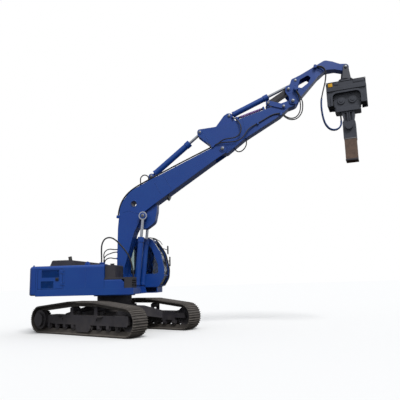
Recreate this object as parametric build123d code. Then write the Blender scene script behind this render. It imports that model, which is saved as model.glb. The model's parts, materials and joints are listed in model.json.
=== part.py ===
from build123d import *
import math
import os

# Pile driver rig: a crawler excavator with a raised gooseneck boom, a stick, a hinged tip arm
# and a vibratory hammer that hangs in a yoke. Millimetres, +X forward, +Y left (cab side),
# +Z up, origin on the ground under the slew axis. The tracks are turned under the house.

# Undercarriage, in its own frame: +X forward, before it is turned
track_turn = -30.8
track_length = 5080
track_height = 1060
wheel_height = 900
track_gauge = 2590
shoe_width = 600
shoe_count = 51
shoe_plate = 20
grouser_height = 30
grouser_top = 14
grouser_foot = 30
grousers_per_shoe = 3
shoe_gap = 14
link_height = 118
rail_width = 44
rail_spacing = 130
seat_gap = 0.3
sprocket_teeth = 21
tooth_depth = 42
roller_count = 9
roller_radius = 100
roller_flange = 18
roller_length = 250
carrier_radius = 80
carrier_places = (-480, 710)
guard_middle = 100
guard_half = 345
guard_plate = 20
bracket_half = 60
stand_half = 70
step_places = (-1110, 940)
step_length = 260
step_reach = 90
frame_bottom = 320
frame_belly = 400
frame_top = 620
frame_width = 330
frame_side = 35
arm_height = 160
cover_lap = 110
cover_reach = 140
cover_proud = 70
frame_hole = 28
frame_hole_places = (-930, 780)
wheel_room = 40
axle_radius = 50
final_drive_radius = 320
final_drive_reach = 70
cap_radius = 225
cap_reach = 75
car_body_top = 900
car_body_low = 480
car_body_radius = 760
leg_width = 620
leg_reach_x = 900

# Slewing
ring_radius = 590
ring_flange_radius = 710
ring_flange_height = 57
deck_bottom = 1247

# House
house_width = 2980
deck_plate = 25
deck_height = 205
deck_front = 1050
tail_radius = 2800
tail_corner = 150
shoulder = 90
tail_skirt = 60
house_rear_seam = -2190
house_top = 2216
housing_front = 90
rail_gap = 600
lug_plate = 30
cab_deck_front = 1400
panel = 6
panel_gap = 8
door_inset = 60
door_foot = 20
door_head = 100
hinge_pin = 6
hinge_knuckle = 12
hinge_stand = 12
hinge_length = 80
hinge_ear = 12
hinge_leaf = 70
seam_second = -1220
panel_seams = (-1220, -530)
louvre_pitch = 30
louvre_depth = 26
louvre_plate = 3
louvre_tilt = 35
engine_length = 1150
engine_width = 780
engine_height = 650
hood_rear = -2150
hood_front = -430
hood_half_width = 560
hood_height = 225
hood_slope = 100
hood_ridge = 740
hood_nose = 90
hood_wall = 30
hood_lap = 60
hood_hinge_inset = 220
exhaust_x = -1830
exhaust_inset = 310
exhaust_radius = 65
exhaust_length = 460
exhaust_lean = 12
roof_notch = 25  # cut back behind the boom
housing_depth = 480
wall_clearance = 90
box_front = 740
box_width = 620
box_slope = 100
box_height = 483
step_inset = 10
step_front = 1000
step_thickness = 60
step_plate = 12
step_bars = 5
tank_front = 430
tank_inset = 90
tank_clearance = 150
tank_drop = 26

# Cab
cab_inner = 530
cab_outer = 1480
cab_rear = -40
cab_front = 1665
cab_height = 1960
cab_wall = 45
screen_edge = 70
seat_place = 260
glass_thickness = 6
door_gap = 8
door_rear = 380
door_thickness = 40

# Pivots in the boom's plane, as (x, z)
boom_foot = (280, 1850)
lift_foot = (880, 1380)
lift_eye = (1120, 3890)
bend_hole = (760, 4350)
stick_pivot = (3950, 6170)
stick_base = (1350, 5360)
stick_eye = (3150, 6850)
tip_base = (4220, 7430)
tip_pivot = (6490, 7780)
tip_eye = (6620, 8540)
tie_pin = (6360, 8230)
guide_pin = (6160, 7600)
shared_pin = (5630, 7770)
yoke_pin = (8410, 8950)

# Boom, stick and tip arm
boom_width = 590
boom_plate = 14
boom_foot_radius = 135
fork_reach = 470
fork_boss = 20
bend_hole_radius = 105
bend_ring = 8
belly_width = 380
stick_width = 430
stick_plate = 12
lug_reach = 430
lug_wall = 45
lug_boss = 85
tip_width = 500
tip_end_width = 300
tip_plate = 25
ear_boss = 12
guide_plate = 30
tie_inner = 130
tie_plate = 35
guide_height = 170
tie_height = 165
shared_radius = 38
shared_play = 20
pin_radius = 45
pin_play = 0.05
side_gap = 5
pin_head = 25
boss_radius = 120

# Cylinders: barrel and rod radii, eye sizes
lift_y = 410
lift_barrel_radius = 95
lift_rod_radius = 52
lift_eye_width = 110
lift_eye_radius = 145
lift_eye_play = 45
lift_cap_radius = 105
stick_barrel_radius = 110
stick_rod_radius = 58
tip_barrel_radius = 100
tip_rod_radius = 50
eye_width = 110
eye_radius = 105
barrel_wall = 14
barrel_start = 150
neck_inset = 4
lift_base_eye = 100
cap_length = 170
cap_growth = 16
rod_play = 0.05
lift_barrel_length = 1780
lift_piston = 1100
stick_barrel_length = 1830
stick_piston = 640
tip_barrel_length = 1560
tip_piston = 700

# Hammer, hung from the yoke and turned on its rotator
hammer_turn = -15.5
hammer_x = 8410
hood_top = 8385
hood_length = 1330
hood_width = 620
hood_height_side = 860
hood_plate = 30
arch_half = 470
arch_height = 435
arch_rim = 70
arch_proud = 25
beam_height = 130
beam_proud = 40
exciter_length = 880
exciter_width = 400
exciter_top = 7985
exciter_height = 560
cover_spacing = 190
cover_radius = 130
clamp_top = 7420
clamp_bottom = 6330
clamp_width = 430
neck_low = 6900
neck_pocket = 85
sleeve_bottom = 5540
sleeve_outer = 400
sleeve_wall = 25
sleeve_head = 50
jaw_half = 60
rotator_height = 100
yoke_base = 30
rotator_radius = 250
yoke_half = 150
yoke_plate = 25

# Hoses: diameters, then the routes as points chosen by hand, each from its fitting to the next
hose_small = 36
hose_middle = 40
hose_large = 50
bundle_size = 80
fitting_growth = 9
fitting_length = 60
line_stand = 20
line_start = 0.55
line_end = 0.9
line_bows = ((0.22, 6), (0.565, 10))
line_block_length = 90
line_block_outer = 50
line_block_inner = 60


def turned(shape, degrees, centre=(0, 0)):
    """Turns a shape about a vertical line through a ground point."""
    return Pos(*centre, 0) * Rot(0, 0, degrees) * Pos(-centre[0], -centre[1], 0) * shape


def outline(points):
    """Closed face in the XZ plane from (x, z, corner radius) rows."""
    corners = [(x, z) for x, z, r in points]
    wire = FilletPolyline(*corners, radius=[r for x, z, r in points], close=True)
    return make_face(wire)


def slab(face, y_from, y_to):
    """A face of the XZ plane made solid between two values of Y."""
    y_low, y_high = sorted((y_from, y_to))
    return extrude(Plane.XZ.offset(-y_high) * face, amount=y_high - y_low)


def across(pin, radius, y_from, y_to):
    """Round bar along Y at an (x, z) pivot."""
    return slab(Pos(*pin) * Circle(radius), y_from, y_to)


def block(x0, x1, y0, y1, z0, z1):
    """Box between two corners."""
    centre = Pos((x0 + x1) / 2, (y0 + y1) / 2, (z0 + z1) / 2)
    return centre * Box(abs(x1 - x0), abs(y1 - y0), abs(z1 - z0))


def hollow(points, width, plate):
    """Closed box section with the side outline given, plates all round."""
    face = outline(points)
    inner = offset(face, -plate, kind=Kind.INTERSECTION)
    return slab(face, -width / 2, width / 2) - slab(inner, plate - width / 2, width / 2 - plate)


def solids_of(shapes):
    """All solids of a list of shapes, as one compound."""
    found = []
    for shape in shapes:
        found += shape.solids()
    return Compound(found)


# Track: straight runs and arcs round its wheels, walked by their length


def belt_circles():
    """Circles that the shoes wrap round, from the idler over the carriers, as (x, z, radius)."""
    wheel = wheel_height / 2 - grouser_height - shoe_plate
    carrier = carrier_radius + seat_gap + link_height
    rows = [(*wheel_centre(1), wheel)]
    rows += [(x, carrier_height(), carrier) for x in reversed(carrier_places)]
    return rows + [(*wheel_centre(-1), wheel)]


def belt_stretches():
    """The loop's straight runs (radius 0) and arcs, as (length, x, z, outward angle, radius)."""
    circles = belt_circles()
    runs = []
    for (ax, az, ar), (bx, bz, br) in zip(circles, circles[1:] + circles[:1]):
        span = math.hypot(bx - ax, bz - az)
        normal = math.atan2(bz - az, bx - ax) - math.acos((ar - br) / span)
        length = math.sqrt(span ** 2 - (ar - br) ** 2)
        runs.append((length, ax + ar * math.cos(normal), az + ar * math.sin(normal), normal, 0))
    rows = []
    for place, run in enumerate(runs):
        following = (place + 1) % len(runs)
        x, z, radius = circles[following]
        turn = (runs[following][3] - run[3]) % (2 * math.pi)
        rows += [run, (radius * turn, x, z, run[3], radius)]
    return rows


def belt_point(walk, out):
    """Point at a distance along the loop, moved outwards by out."""
    rows = belt_stretches()
    walk = walk % sum(row[0] for row in rows)
    for length, x, z, angle, radius in rows:
        if walk <= length:
            break
        walk -= length
    if radius:
        angle += walk / radius
        return (x + (radius + out) * math.cos(angle), z + (radius + out) * math.sin(angle))
    ahead = angle + math.pi / 2
    return (
        x + walk * math.cos(ahead) + out * math.cos(angle),
        z + walk * math.sin(ahead) + out * math.sin(angle))


def belt(out):
    """Face of the track's loop, grown by out from the shoes' inner side."""
    edges = []
    for length, x, z, angle, radius in belt_stretches():
        if radius:
            edges.append(
                CenterArc((x, z), radius + out, math.degrees(angle), math.degrees(length / radius)))
        else:
            ahead = angle + math.pi / 2
            start = (x + out * math.cos(angle), z + out * math.sin(angle))
            end = (start[0] + length * math.cos(ahead), start[1] + length * math.sin(ahead))
            edges.append(Line(start, end))
    return make_face(edges)


def track(side):
    """Shoes with their grousers and the two rails of links, one fixed loop."""
    loop = sum(row[0] for row in belt_stretches())
    pitch = loop / shoe_count
    rib_pitch = (pitch - shoe_gap) / grousers_per_shoe
    points = []
    for shoe in range(shoe_count):
        start = shoe * pitch + shoe_gap
        for rib in range(grousers_per_shoe):
            middle = start + rib_pitch * (rib + 0.5)
            points.append(belt_point(middle - grouser_foot / 2, shoe_plate))
            points.append(belt_point(middle - grouser_top / 2, shoe_plate + grouser_height))
            points.append(belt_point(middle + grouser_top / 2, shoe_plate + grouser_height))
            points.append(belt_point(middle + grouser_foot / 2, shoe_plate))
    y = side * track_gauge / 2
    ring = make_face(Polyline(*points, close=True)) - belt(0)
    solid = slab(ring, y - shoe_width / 2, y + shoe_width / 2)
    rail = belt(0) - belt(-link_height)
    for offset_y in (-rail_spacing / 2, rail_spacing / 2):
        solid += slab(rail, y + offset_y - rail_width / 2, y + offset_y + rail_width / 2)
    return solid


def wheel_centre(end):
    """Centre of the idler (end = 1) or of the sprocket (end = -1)."""
    return (end * (track_length - wheel_height) / 2, wheel_height / 2)


def rail_radius():
    """Radius of the rails' running face round a wheel."""
    return wheel_height / 2 - grouser_height - shoe_plate - link_height


def idler(side):
    """Idler wheel with a centre flange between the rails and a hollow web."""
    y = side * track_gauge / 2
    radius = rail_radius() - seat_gap
    tread = rail_spacing / 2 + rail_width / 2
    flange = rail_spacing / 2 - rail_width / 2 - side_gap
    centre = wheel_centre(1)
    wheel = across(centre, radius, y - tread, y + tread)
    wheel += across(centre, radius + link_height / 4, y - flange, y + flange)
    for face, inward in ((y - tread, 30), (y + tread, -30)):
        wheel -= slab(Pos(*centre) * (Circle(radius - 50) - Circle(axle_radius + 60)), face, face + inward)
    return wheel - across(centre, axle_radius + pin_play, y - shoe_width, y + shoe_width)


def sprocket(side):
    """Toothed rim between the rails, on a round web."""
    y = side * track_gauge / 2
    half = rail_spacing / 2 - rail_width / 2 - side_gap
    centre = wheel_centre(-1)
    root = rail_radius() - wheel_room / 4
    teeth = []
    for tooth in range(sprocket_teeth):
        for share, radius in (
                (0.0, root), (0.3, root + tooth_depth), (0.6, root + tooth_depth), (0.9, root)):
            angle = 2 * math.pi * (tooth + share) / sprocket_teeth
            teeth.append((centre[0] + radius * math.cos(angle), centre[1] + radius * math.sin(angle)))
    rim = slab(make_face(Polyline(*teeth, close=True)), y - half, y + half)
    return rim - across(centre, axle_radius + pin_play, y - shoe_width, y + shoe_width)


def roller_height():
    """Height of the bottom rollers' axles, on the bottom run's rails."""
    return grouser_height + shoe_plate + link_height + roller_radius + seat_gap


def roller_places():
    """X of each bottom roller, spread evenly and clear of the sprocket and the idler."""
    drop = wheel_centre(1)[1] - roller_height()
    clear = rail_radius() + tooth_depth + roller_radius + wheel_room / 2
    first = wheel_centre(-1)[0] + math.sqrt(clear ** 2 - drop ** 2)
    last = wheel_centre(1)[0] - math.sqrt(clear ** 2 - drop ** 2)
    step = (last - first) / (roller_count - 1)
    return [first + place * step for place in range(roller_count)]


def carrier_height():
    """Height of the carrier rollers' axles, under the top run's rails."""
    return track_height - grouser_height - shoe_plate - link_height - carrier_radius - seat_gap


def rollers(side):
    """Bottom rollers, and the two carrier rollers under the top run."""
    y = side * track_gauge / 2
    half = roller_length / 2
    outer = rail_spacing / 2 + rail_width / 2 + side_gap
    made = []
    for x in roller_places():
        centre = (x, roller_height())
        body = across(centre, roller_radius, y - half, y + half)
        for end in (-1, 1):
            body += across(centre, roller_radius + roller_flange, y + end * outer, y + end * half)
        made.append(body)
    for x in carrier_places:
        made.append(across((x, carrier_height()), carrier_radius, y - half, y + half))
    return solids_of(made)


def track_frame(side):
    """Side frame: box beam, arms to the idler and the sprocket, front cover, final drive and its cap."""
    y = side * track_gauge / 2
    half = frame_width / 2
    out = side * half
    arm_in = rail_spacing / 2 + rail_width / 2 + side_gap
    idler_x, axle_z = wheel_centre(1)
    sprocket_x = wheel_centre(-1)[0]
    front = idler_x - rail_radius() - link_height / 4 - wheel_room
    rear = sprocket_x + rail_radius() + tooth_depth + wheel_room
    arm_top = frame_belly + arm_height
    beam = outline([
        (rear, frame_belly, 0), (rear, frame_top, 60), (front, frame_top, 60), (front, frame_belly, 0)])
    solid = slab(beam, y - half, y + half)
    skirt = outline([
        (rear, frame_bottom + 40, 30), (rear, frame_belly + 50, 0), (front, frame_belly + 50, 0),
        (front, frame_bottom, 30), (rear + 400, frame_bottom, 200)])
    cover = outline([
        (front - cover_lap, frame_bottom, 30), (front - cover_lap, frame_top + 15, 30),
        (idler_x + cover_reach, frame_top + 15, 40), (idler_x + cover_reach, frame_bottom + 60, 20),
        (idler_x + cover_reach - 60, frame_bottom, 20)])
    for end in (-1, 1):
        solid += slab(skirt, y + end * (half - frame_side), y + end * half)
        solid += block(front - 250, idler_x + 120, y + end * arm_in, y + end * half, frame_belly, arm_top)
        solid += block(sprocket_x - 100, rear + 150, y + end * arm_in, y + end * half, frame_belly, arm_top)
    solid += slab(cover, y + out - side * frame_side, y + out + side * cover_proud)
    solid += across((idler_x, axle_z), axle_radius, y - half, y + half)
    solid += across((sprocket_x, axle_z), axle_radius, y - half, y + half)
    drive_out = y + out + side * final_drive_reach
    solid += across((sprocket_x, axle_z), final_drive_radius, y + side * arm_in, drive_out)
    solid += across((sprocket_x, axle_z), cap_radius, y + out, drive_out + side * cap_reach)
    return solid


def frame_fittings(side, solid):
    """Adds the rollers' brackets, the carriers' stands, the guard and the steps to a side frame."""
    y = side * track_gauge / 2
    half = frame_width / 2
    reach = roller_length / 2 + seat_gap
    for x in roller_places():
        for end in (-1, 1):
            solid += block(
                x - bracket_half, x + bracket_half, y + end * reach, y + end * half,
                roller_height() - 45, frame_belly)
    for x in carrier_places:
        for end in (-1, 1):
            solid += block(
                x - stand_half, x + stand_half, y + end * reach, y + end * (reach + 30),
                frame_top - 5, carrier_height() + 40)
    guard = outline([
        (guard_middle - guard_half, frame_bottom + 40, 0), (guard_middle - guard_half,
        roller_height() - 100, 40),
        (guard_middle - guard_half + 90, roller_height() - 170, 40),
        (guard_middle + guard_half - 90, roller_height() - 170, 40),
        (guard_middle + guard_half, roller_height() - 100, 40), (guard_middle + guard_half,
        frame_bottom + 40, 0)])
    for end in (-1, 1):
        solid += slab(guard, y + end * (half - guard_plate), y + end * half)
    for x in step_places:
        solid += block(
            x - step_length / 2, x + step_length / 2, y + side * half, y + side * (half + step_reach),
            frame_top - 40, frame_top - 25)
    for x in frame_hole_places:
        solid -= across(
            (x, frame_top - 130), frame_hole, y + side * (half - frame_side), y + side * (half + 1))
    return solid


def car_body():
    """Round middle with four legs that run down to the side frames."""
    inner = track_gauge / 2 - frame_width / 2
    face = Circle(car_body_radius)
    solid = extrude(Plane.XY.offset(car_body_low) * face, amount=car_body_top - car_body_low)
    root = car_body_radius * 0.9
    slope = make_face(Polyline(
        (0, car_body_low - 80), (0, car_body_top - 20), (inner * 0.45, car_body_top - 60),
        (inner + 1, frame_top + 20), (inner + 1, frame_bottom + 60), (inner * 0.5, car_body_low),
        close=True))
    slope = extrude(Plane.YZ.offset(-track_length / 2) * slope, amount=track_length)
    for end in (-1, 1):
        for side in (-1, 1):
            plan = make_face(Polyline(
                (0, 0), (0, side * root), (end * (leg_reach_x - leg_width / 2), side * inner),
                (end * (leg_reach_x + leg_width / 2), side * inner), (end * root, 0), close=True))
            leg = extrude(Plane.XY.offset(frame_bottom) * plan, amount=car_body_top - frame_bottom)
            solid += leg & (slope if side > 0 else mirror(slope, about=Plane.XZ))
    return solid


def slew_ring():
    """Lower race of the slewing ring, with a well down its middle."""
    height = deck_bottom - ring_flange_height - seat_gap - car_body_top
    face = Circle(ring_radius) - Circle(ring_radius - 110)
    return extrude(Plane.XY.offset(car_body_top) * face, amount=height)


# House


def tail_face(width, front):
    """Plan of the house's tail: straight sides, rounded corners and a round rear."""
    box = Pos((front - tail_radius) / 2, 0) * Rectangle(front + tail_radius, width)
    face = box & Circle(tail_radius)
    corners = face.vertices().sort_by(Axis.X)[:2]
    return fillet(corners, tail_corner)


def lug_faces():
    """Y of the inner face and the outer face of the outer lift lugs."""
    inner = lift_y + lift_eye_width / 2 + side_gap
    return inner, inner + lug_plate


def revolving_frame():
    """Upper frame: flange, belly plate, two main rails with the pin lugs, and the side decks."""
    low = deck_bottom
    top = deck_bottom + deck_height
    rear = house_rear_seam - panel_gap
    flange = extrude(
        Plane.XY.offset(low - ring_flange_height) * Circle(ring_flange_radius), amount=ring_flange_height)
    inner_half = rail_gap / 2
    outer_half = lift_y - lift_eye_width / 2 - side_gap
    belly = block(rear, deck_front, -outer_half - 20, outer_half + 20, low, low + deck_plate)
    fx, fz = boom_foot
    lx, lz = lift_foot
    rail = outline([
        (rear, low, 0), (rear, top, 0), (-750, top, 200), (fx - 190, fz + 20, 60), (fx - 60, fz + 150, 80),
        (fx + 110, fz + 120, 80), (lx - 250, lz + 230, 80), (lx - 110, lz + 105, 60), (lx + 100,
        lz + 105, 80),
        (lx + 150, low, 0)])
    solid = flange + belly
    lug = outline([
        (lx - 200, low, 0), (lx - 130, lz + 60, 60), (lx - 60, lz + 105, 60), (lx + 90, lz + 105, 60),
        (lx + 150, low, 0)])
    lug_in, lug_out = lug_faces()
    for side in (-1, 1):
        solid += slab(rail, side * inner_half, side * outer_half)
        solid += slab(lug, side * lug_in, side * lug_out)
        y_out = side * house_width / 2
        y_in = side * outer_half
        front = deck_front if side < 0 else cab_deck_front
        deck = block(house_rear_seam, front, y_in, y_out, low, top)
        deck -= block(
            house_rear_seam + 30, front - 30, y_in + side * 20, y_out - side * 20, low - 1,
            top - deck_plate)
        deck -= block(lx - 240, front + 1, y_in, side * (lug_out + 60), low + deck_plate, top + 1)
        solid += deck
        solid += block(lx - 240, deck_front, y_in, side * (lug_out + 90), low, low + deck_plate)
        solid += across(lift_foot, pin_radius, side * inner_half, side * (lug_out + pin_head))
    solid += across(boom_foot, pin_radius, -outer_half - pin_head, outer_half + pin_head)
    for piece in fittings("arch_hose", -1):
        solid += piece
    return solid


def counterweight():
    """Cast block that fills the tail, with rounded shoulders."""
    low = deck_bottom + deck_plate
    face = tail_face(house_width, house_rear_seam - panel_gap)
    solid = extrude(Plane.XY.offset(low) * face, amount=house_top - low)
    front = solid.edges().group_by(Axis.X)[-1]
    rims = solid.edges().group_by(Axis.Z)
    solid = fillet([edge for edge in rims[-1] if edge not in front], shoulder)
    rims = solid.edges().group_by(Axis.Z)[0]
    front = solid.edges().group_by(Axis.X)[-1]
    return fillet([edge for edge in rims if edge not in front], tail_skirt)


def engine_block():
    """Engine and pumps as one plain mass in front of the counterweight."""
    low = deck_bottom + deck_height
    rear = house_rear_seam + 150
    return block(rear, rear + engine_length, -engine_width / 2, engine_width / 2, low, low + engine_height)


def hinge_pins(x, y_face, side, heights, towards):
    """Fixed hinge pins between two ears, on the panel that lies towards -X or +X."""
    y = y_face + side * hinge_stand
    made = []
    for z in heights:
        pin = Pos(x, y, z) * Cylinder(hinge_pin, hinge_length + 2 * hinge_ear)
        for end in (-1, 1):
            middle = z + end * (hinge_length + hinge_ear) / 2
            pin += Pos(x, y, middle) * Cylinder(hinge_knuckle, hinge_ear)
            pin += block(
                x, x + towards * hinge_leaf, y_face, y, middle - hinge_ear / 2, middle + hinge_ear / 2)
        made.append(pin)
    return made


def hinge_knuckles(x, y_face, side, heights, towards):
    """Bored knuckles with their leaves, for the leaf that lies towards -X or +X."""
    y = y_face + side * hinge_stand
    made = []
    for z in heights:
        length = hinge_length - 2 * seat_gap
        knuckle = Pos(x, y, z) * Cylinder(hinge_knuckle, length)
        knuckle += block(
            x, x + towards * hinge_leaf, y_face, y_face + side * hinge_stand, z - length / 2,
            z + length / 2)
        made.append(knuckle - Pos(x, y, z) * Cylinder(hinge_pin + pin_play, hinge_length))
    return made


def housing(side):
    """Side housing: outer wall, rounded shoulder and end walls, open towards the engine and below."""
    low = deck_bottom + deck_height
    y_out = side * house_width / 2
    y_in = side * (house_width / 2 - housing_depth)
    x0 = house_rear_seam
    x1 = housing_front if side < 0 else cab_rear - panel_gap
    section = [(y_in, low), (y_in, house_top), (y_out, house_top), (y_out, low)]
    shell = shoulder_block(section, shoulder, x0, x1)
    inner = [(y_in - side, low - 1), (y_in - side, house_top - panel),
             (y_out - side * panel, house_top - panel), (y_out - side * panel, low - 1)]
    solid = shell - shoulder_block(inner, shoulder - panel, x0 + panel, x1 - panel)
    solid -= block(
        house_rear_seam + door_inset, seam_second - door_inset, y_out - side * 2 * panel, y_out + side,
        low + door_foot, house_top - door_head)
    for seam in panel_seams:
        if seam < x1 - panel_gap:
            solid -= block(
                seam - panel_gap / 2, seam + panel_gap / 2, y_out - side * panel / 2, y_out + side,
                low - 1, house_top - door_head)
    for pin in hinge_pins(side_door_hinge(), y_out, side, side_hinge_heights(), 1):
        solid += pin
    return solid


def shoulder_block(section, radius, x0, x1):
    """Straight panel block along X from its (y, z) section, the third corner rounded."""
    corners = [(y, z) for y, z in section]
    wire = FilletPolyline(*corners, radius=[0, 0, radius, 0], close=True)
    return extrude(Plane.YZ.offset(x0) * make_face(wire), amount=x1 - x0)


def side_door_hinge():
    """X of the side doors' hinge line, in the gap at their front edge."""
    return seam_second - door_inset - panel_gap / 2


def side_hinge_heights():
    """Heights of the side doors' hinges."""
    low = deck_bottom + deck_height
    return [low + 180, house_top - 210]


def side_door(side):
    """Service door in the side housing, with two fields of louvre blades."""
    low = deck_bottom + deck_height + door_foot + panel_gap
    y_out = side * house_width / 2
    leaf = block(
        house_rear_seam + door_inset + panel_gap, seam_second - door_inset - panel_gap,
        y_out - side * panel, y_out,
        low, house_top - door_head - panel_gap)
    for x0, x1, z0, z1 in louvre_fields():
        leaf -= block(x0, x1, y_out - side * 2 * panel, y_out + side, z0, z1)
        count = round((z1 - z0) / louvre_pitch)
        for blade in range(count):
            z = z0 + (blade + 0.5) * (z1 - z0) / count
            plate = Box(x1 - x0 + 2, louvre_depth, louvre_plate)
            tilt = Rot(-side * louvre_tilt, 0, 0)
            leaf += Pos((x0 + x1) / 2, y_out - side * louvre_depth / 2, z) * tilt * plate
    for knuckle in hinge_knuckles(side_door_hinge(), y_out, side, side_hinge_heights(), -1):
        leaf += knuckle
    return leaf


def louvre_fields():
    """The two louvred fields of a side door, as (x from, x to, z from, z to)."""
    deck = deck_bottom + deck_height
    return [
        (house_rear_seam + 200, seam_second - 180, house_top - 376, house_top - 136),
        (house_rear_seam + 180, seam_second - 370, deck + 50, deck + 270)]


def engine_roof():
    """Flat roof between the housings, with an opening under the hood, and the wall before the boom."""
    y_half = house_width / 2 - housing_depth
    low = deck_bottom + deck_height
    cab_side_y = cab_inner - panel_gap
    roof = block(house_rear_seam, housing_front, -y_half, cab_side_y, house_top - panel, house_top)
    roof += block(house_rear_seam, cab_rear - panel_gap, cab_side_y, y_half, house_top - panel, house_top)
    wall_start = rail_gap / 2 + wall_clearance
    for y0, y1 in ((-y_half, -wall_start), (wall_start, cab_side_y)):
        roof += block(housing_front - panel, housing_front, y0, y1, low, house_top - panel / 2)
    roof += block(
        cab_rear - panel_gap - panel, cab_rear - panel_gap, cab_side_y - panel, y_half, low,
        house_top - panel / 2)
    roof -= block(
        hood_rear + hood_lap, hood_front - hood_lap, -hood_half_width + hood_lap,
        hood_half_width - hood_lap,
        low, house_top + 1)
    roof -= block(housing_front - roof_notch, housing_front + 1, -wall_start, wall_start, low, house_top + 1)
    for pin in hinge_pins(-hood_half_width - hinge_stand, house_top, 1, hood_hinge_places(), -1):
        roof += Plane.YZ * pin
    for piece in fittings("arch_hose", 0) + fittings("foot_hoses", 0):
        roof += piece
    return roof


def hood_hinge_places():
    """X of the hood's hinges along its right edge."""
    return [hood_rear + hood_hinge_inset, (hood_rear + hood_front) / 2, hood_front - hood_hinge_inset]


def engine_hood():
    """Raised lid over the engine, higher at the rear, on three hinges."""
    low = house_top + seat_gap
    ridge = low + hood_height
    side = outline([
        (hood_rear, low, 0), (hood_rear + hood_slope, ridge, 60), (hood_rear + hood_ridge, ridge, 60),
        (hood_front, low + hood_nose, 40), (hood_front, low, 0)])
    inside = offset(side, -hood_wall, kind=Kind.INTERSECTION)
    body = slab(side, -hood_half_width, hood_half_width)
    room = slab(inside, -hood_half_width + hood_wall, hood_half_width - hood_wall)
    room += block(
        hood_rear + hood_slope, hood_front - hood_wall, -hood_half_width + hood_wall,
        hood_half_width - hood_wall,
        low - 1, low + hood_wall + 1)
    body -= room
    for knuckle in hinge_knuckles(-hood_half_width - hinge_stand, house_top, 1, hood_hinge_places(), 1):
        body += Plane.YZ * knuckle
    return body


def exhaust():
    """Leaning exhaust stub beside the hood, its mouth open."""
    y = house_width / 2 - housing_depth - exhaust_inset
    base = (Align.CENTER, Align.CENTER, Align.MIN)
    pipe = Cylinder(exhaust_radius, exhaust_length, align=base)
    pipe -= Pos(0, 0, exhaust_length / 3) * Cylinder(exhaust_radius - panel, exhaust_length, align=base)
    pipe = Pos(exhaust_x, y, house_top - exhaust_radius / 2) * Rot(0, -exhaust_lean, 0) * pipe
    reach = 2 * exhaust_radius
    return pipe - block(
        exhaust_x - reach, exhaust_x + reach, y - reach, y + reach, house_top - exhaust_radius, house_top)


def front_box():
    """Low tool box in front of the right housing, chamfered towards the front."""
    low = deck_bottom + deck_height
    y_out = -house_width / 2
    body = block(
        housing_front + panel_gap, box_front, y_out, y_out + box_width, low, deck_bottom + box_height)
    body = fillet(body.edges().filter_by(Axis.X).group_by(Axis.Z)[-1].sort_by(Axis.Y)[0], 40)
    top = deck_bottom + box_height
    corner = make_face(Polyline(
        (box_front - box_slope, top + 1), (box_front + 1, top + 1), (box_front + 1, top - box_slope),
        close=True))
    return body - slab(corner, y_out - 1, y_out + box_width + 1)


def front_step():
    """Step over the tool box: a tread plate and a barred box that stands on the deck in front."""
    top = deck_bottom + box_height
    deck = deck_bottom + deck_height
    y0 = -house_width / 2 + step_inset
    y1 = y0 + box_width - 2 * step_inset
    solid = block(housing_front + panel_gap, step_front, y0, y1, top, top + step_thickness)
    x0 = box_front + step_inset
    for y in (y0, y1 - step_plate):
        solid += block(x0, step_front, y, y + step_plate, deck, top + 1)
    solid += block(x0, x0 + step_plate, y0, y1, deck, top + 1)
    for bar in range(step_bars):
        z = deck + (bar + 0.5) * (top - deck) / step_bars
        solid += block(step_front - step_plate, step_front, y0, y1, z - step_plate, z + step_plate)
    return solid


def tank():
    """Dark tank above the step's cover and down beside the tool box."""
    cover = deck_bottom + box_height + step_thickness
    x0 = housing_front + panel_gap
    y0 = -house_width / 2 + tank_inset
    y1 = -rail_gap / 2 - tank_clearance
    box_side = -house_width / 2 + box_width + panel_gap
    solid = block(x0, tank_front, y0, y1, cover, house_top - tank_drop)
    solid += block(x0, tank_front, box_side, y1, deck_bottom + deck_height, cover + 1)
    return fillet(solid.edges().filter_by(Axis.Y).group_by(Axis.Z)[-1], 40)


# Cab


def cab_side():
    """Outline of the cab seen from the side, as (x, z, corner radius)."""
    low = deck_bottom + deck_height
    top = deck_bottom + cab_height
    return [
        (cab_rear, low, 40), (cab_rear, top - 60, 160), (cab_rear + 350, top, 200), (cab_front - 485,
        top, 240),
        (cab_front - 125, top - 560, 500), (cab_front, low + 620, 450), (cab_front - 25, low + 330, 200),
        (cab_front - 215, low, 60)]


def cab_room():
    """The cab's inside, one wall thickness in."""
    face = outline(cab_side())
    inner = offset(face, -cab_wall)
    return slab(inner, cab_inner + cab_wall, cab_outer - cab_wall)


def window(points, y0, y1):
    """Cutter for a side window."""
    return slab(outline(points), y0, y1)


def side_windows():
    """Side windows of the cab as (x, z, corner radius) rows: the rear quarter and the long one."""
    low = deck_bottom + deck_height
    top = deck_bottom + cab_height
    rear = [
        (cab_rear + 90, low + 560, 60), (cab_rear + 90, top - 170, 120), (door_rear - 50, top - 150, 60),
        (door_rear - 50, low + 560, 60)]
    front = [
        (door_rear + 50, low + 460, 80), (door_rear + 50, top - 300, 60), (cab_front - 495, top - 300, 150),
        (cab_front - 235, low + 800, 300), (cab_front - 225, low + 460, 90)]
    return [rear, front]


def door_outline(grow):
    """Outline of the door, shrunk by grow on all sides."""
    low = deck_bottom + deck_height
    top = deck_bottom + cab_height
    face = outline([
        (door_rear, low + 60, 60), (door_rear, top - 75, 60), (cab_front - 545, top - 75, 160),
        (cab_front - 210, top - 560, 450), (cab_front - 85, low + 620, 400), (cab_front - 105, low + 330,
        180),
        (cab_front - 265, low + 60, 60)])
    return offset(face, -grow) if grow else face


def screens():
    """Cutters for the windscreen, the low front pane and the rear window."""
    low = deck_bottom + deck_height
    top = deck_bottom + cab_height
    y0, y1 = cab_inner + screen_edge, cab_outer - screen_edge
    return [
        block(cab_front - 520, cab_front + 10, y0, y1, low + 430, top - 150),
        block(cab_front - 320, cab_front + 10, y0, y1, low + 70, low + 380),
        block(cab_rear - 10, cab_rear + cab_wall + 10, y0, y1, low + 900, top - 260)]


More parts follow.
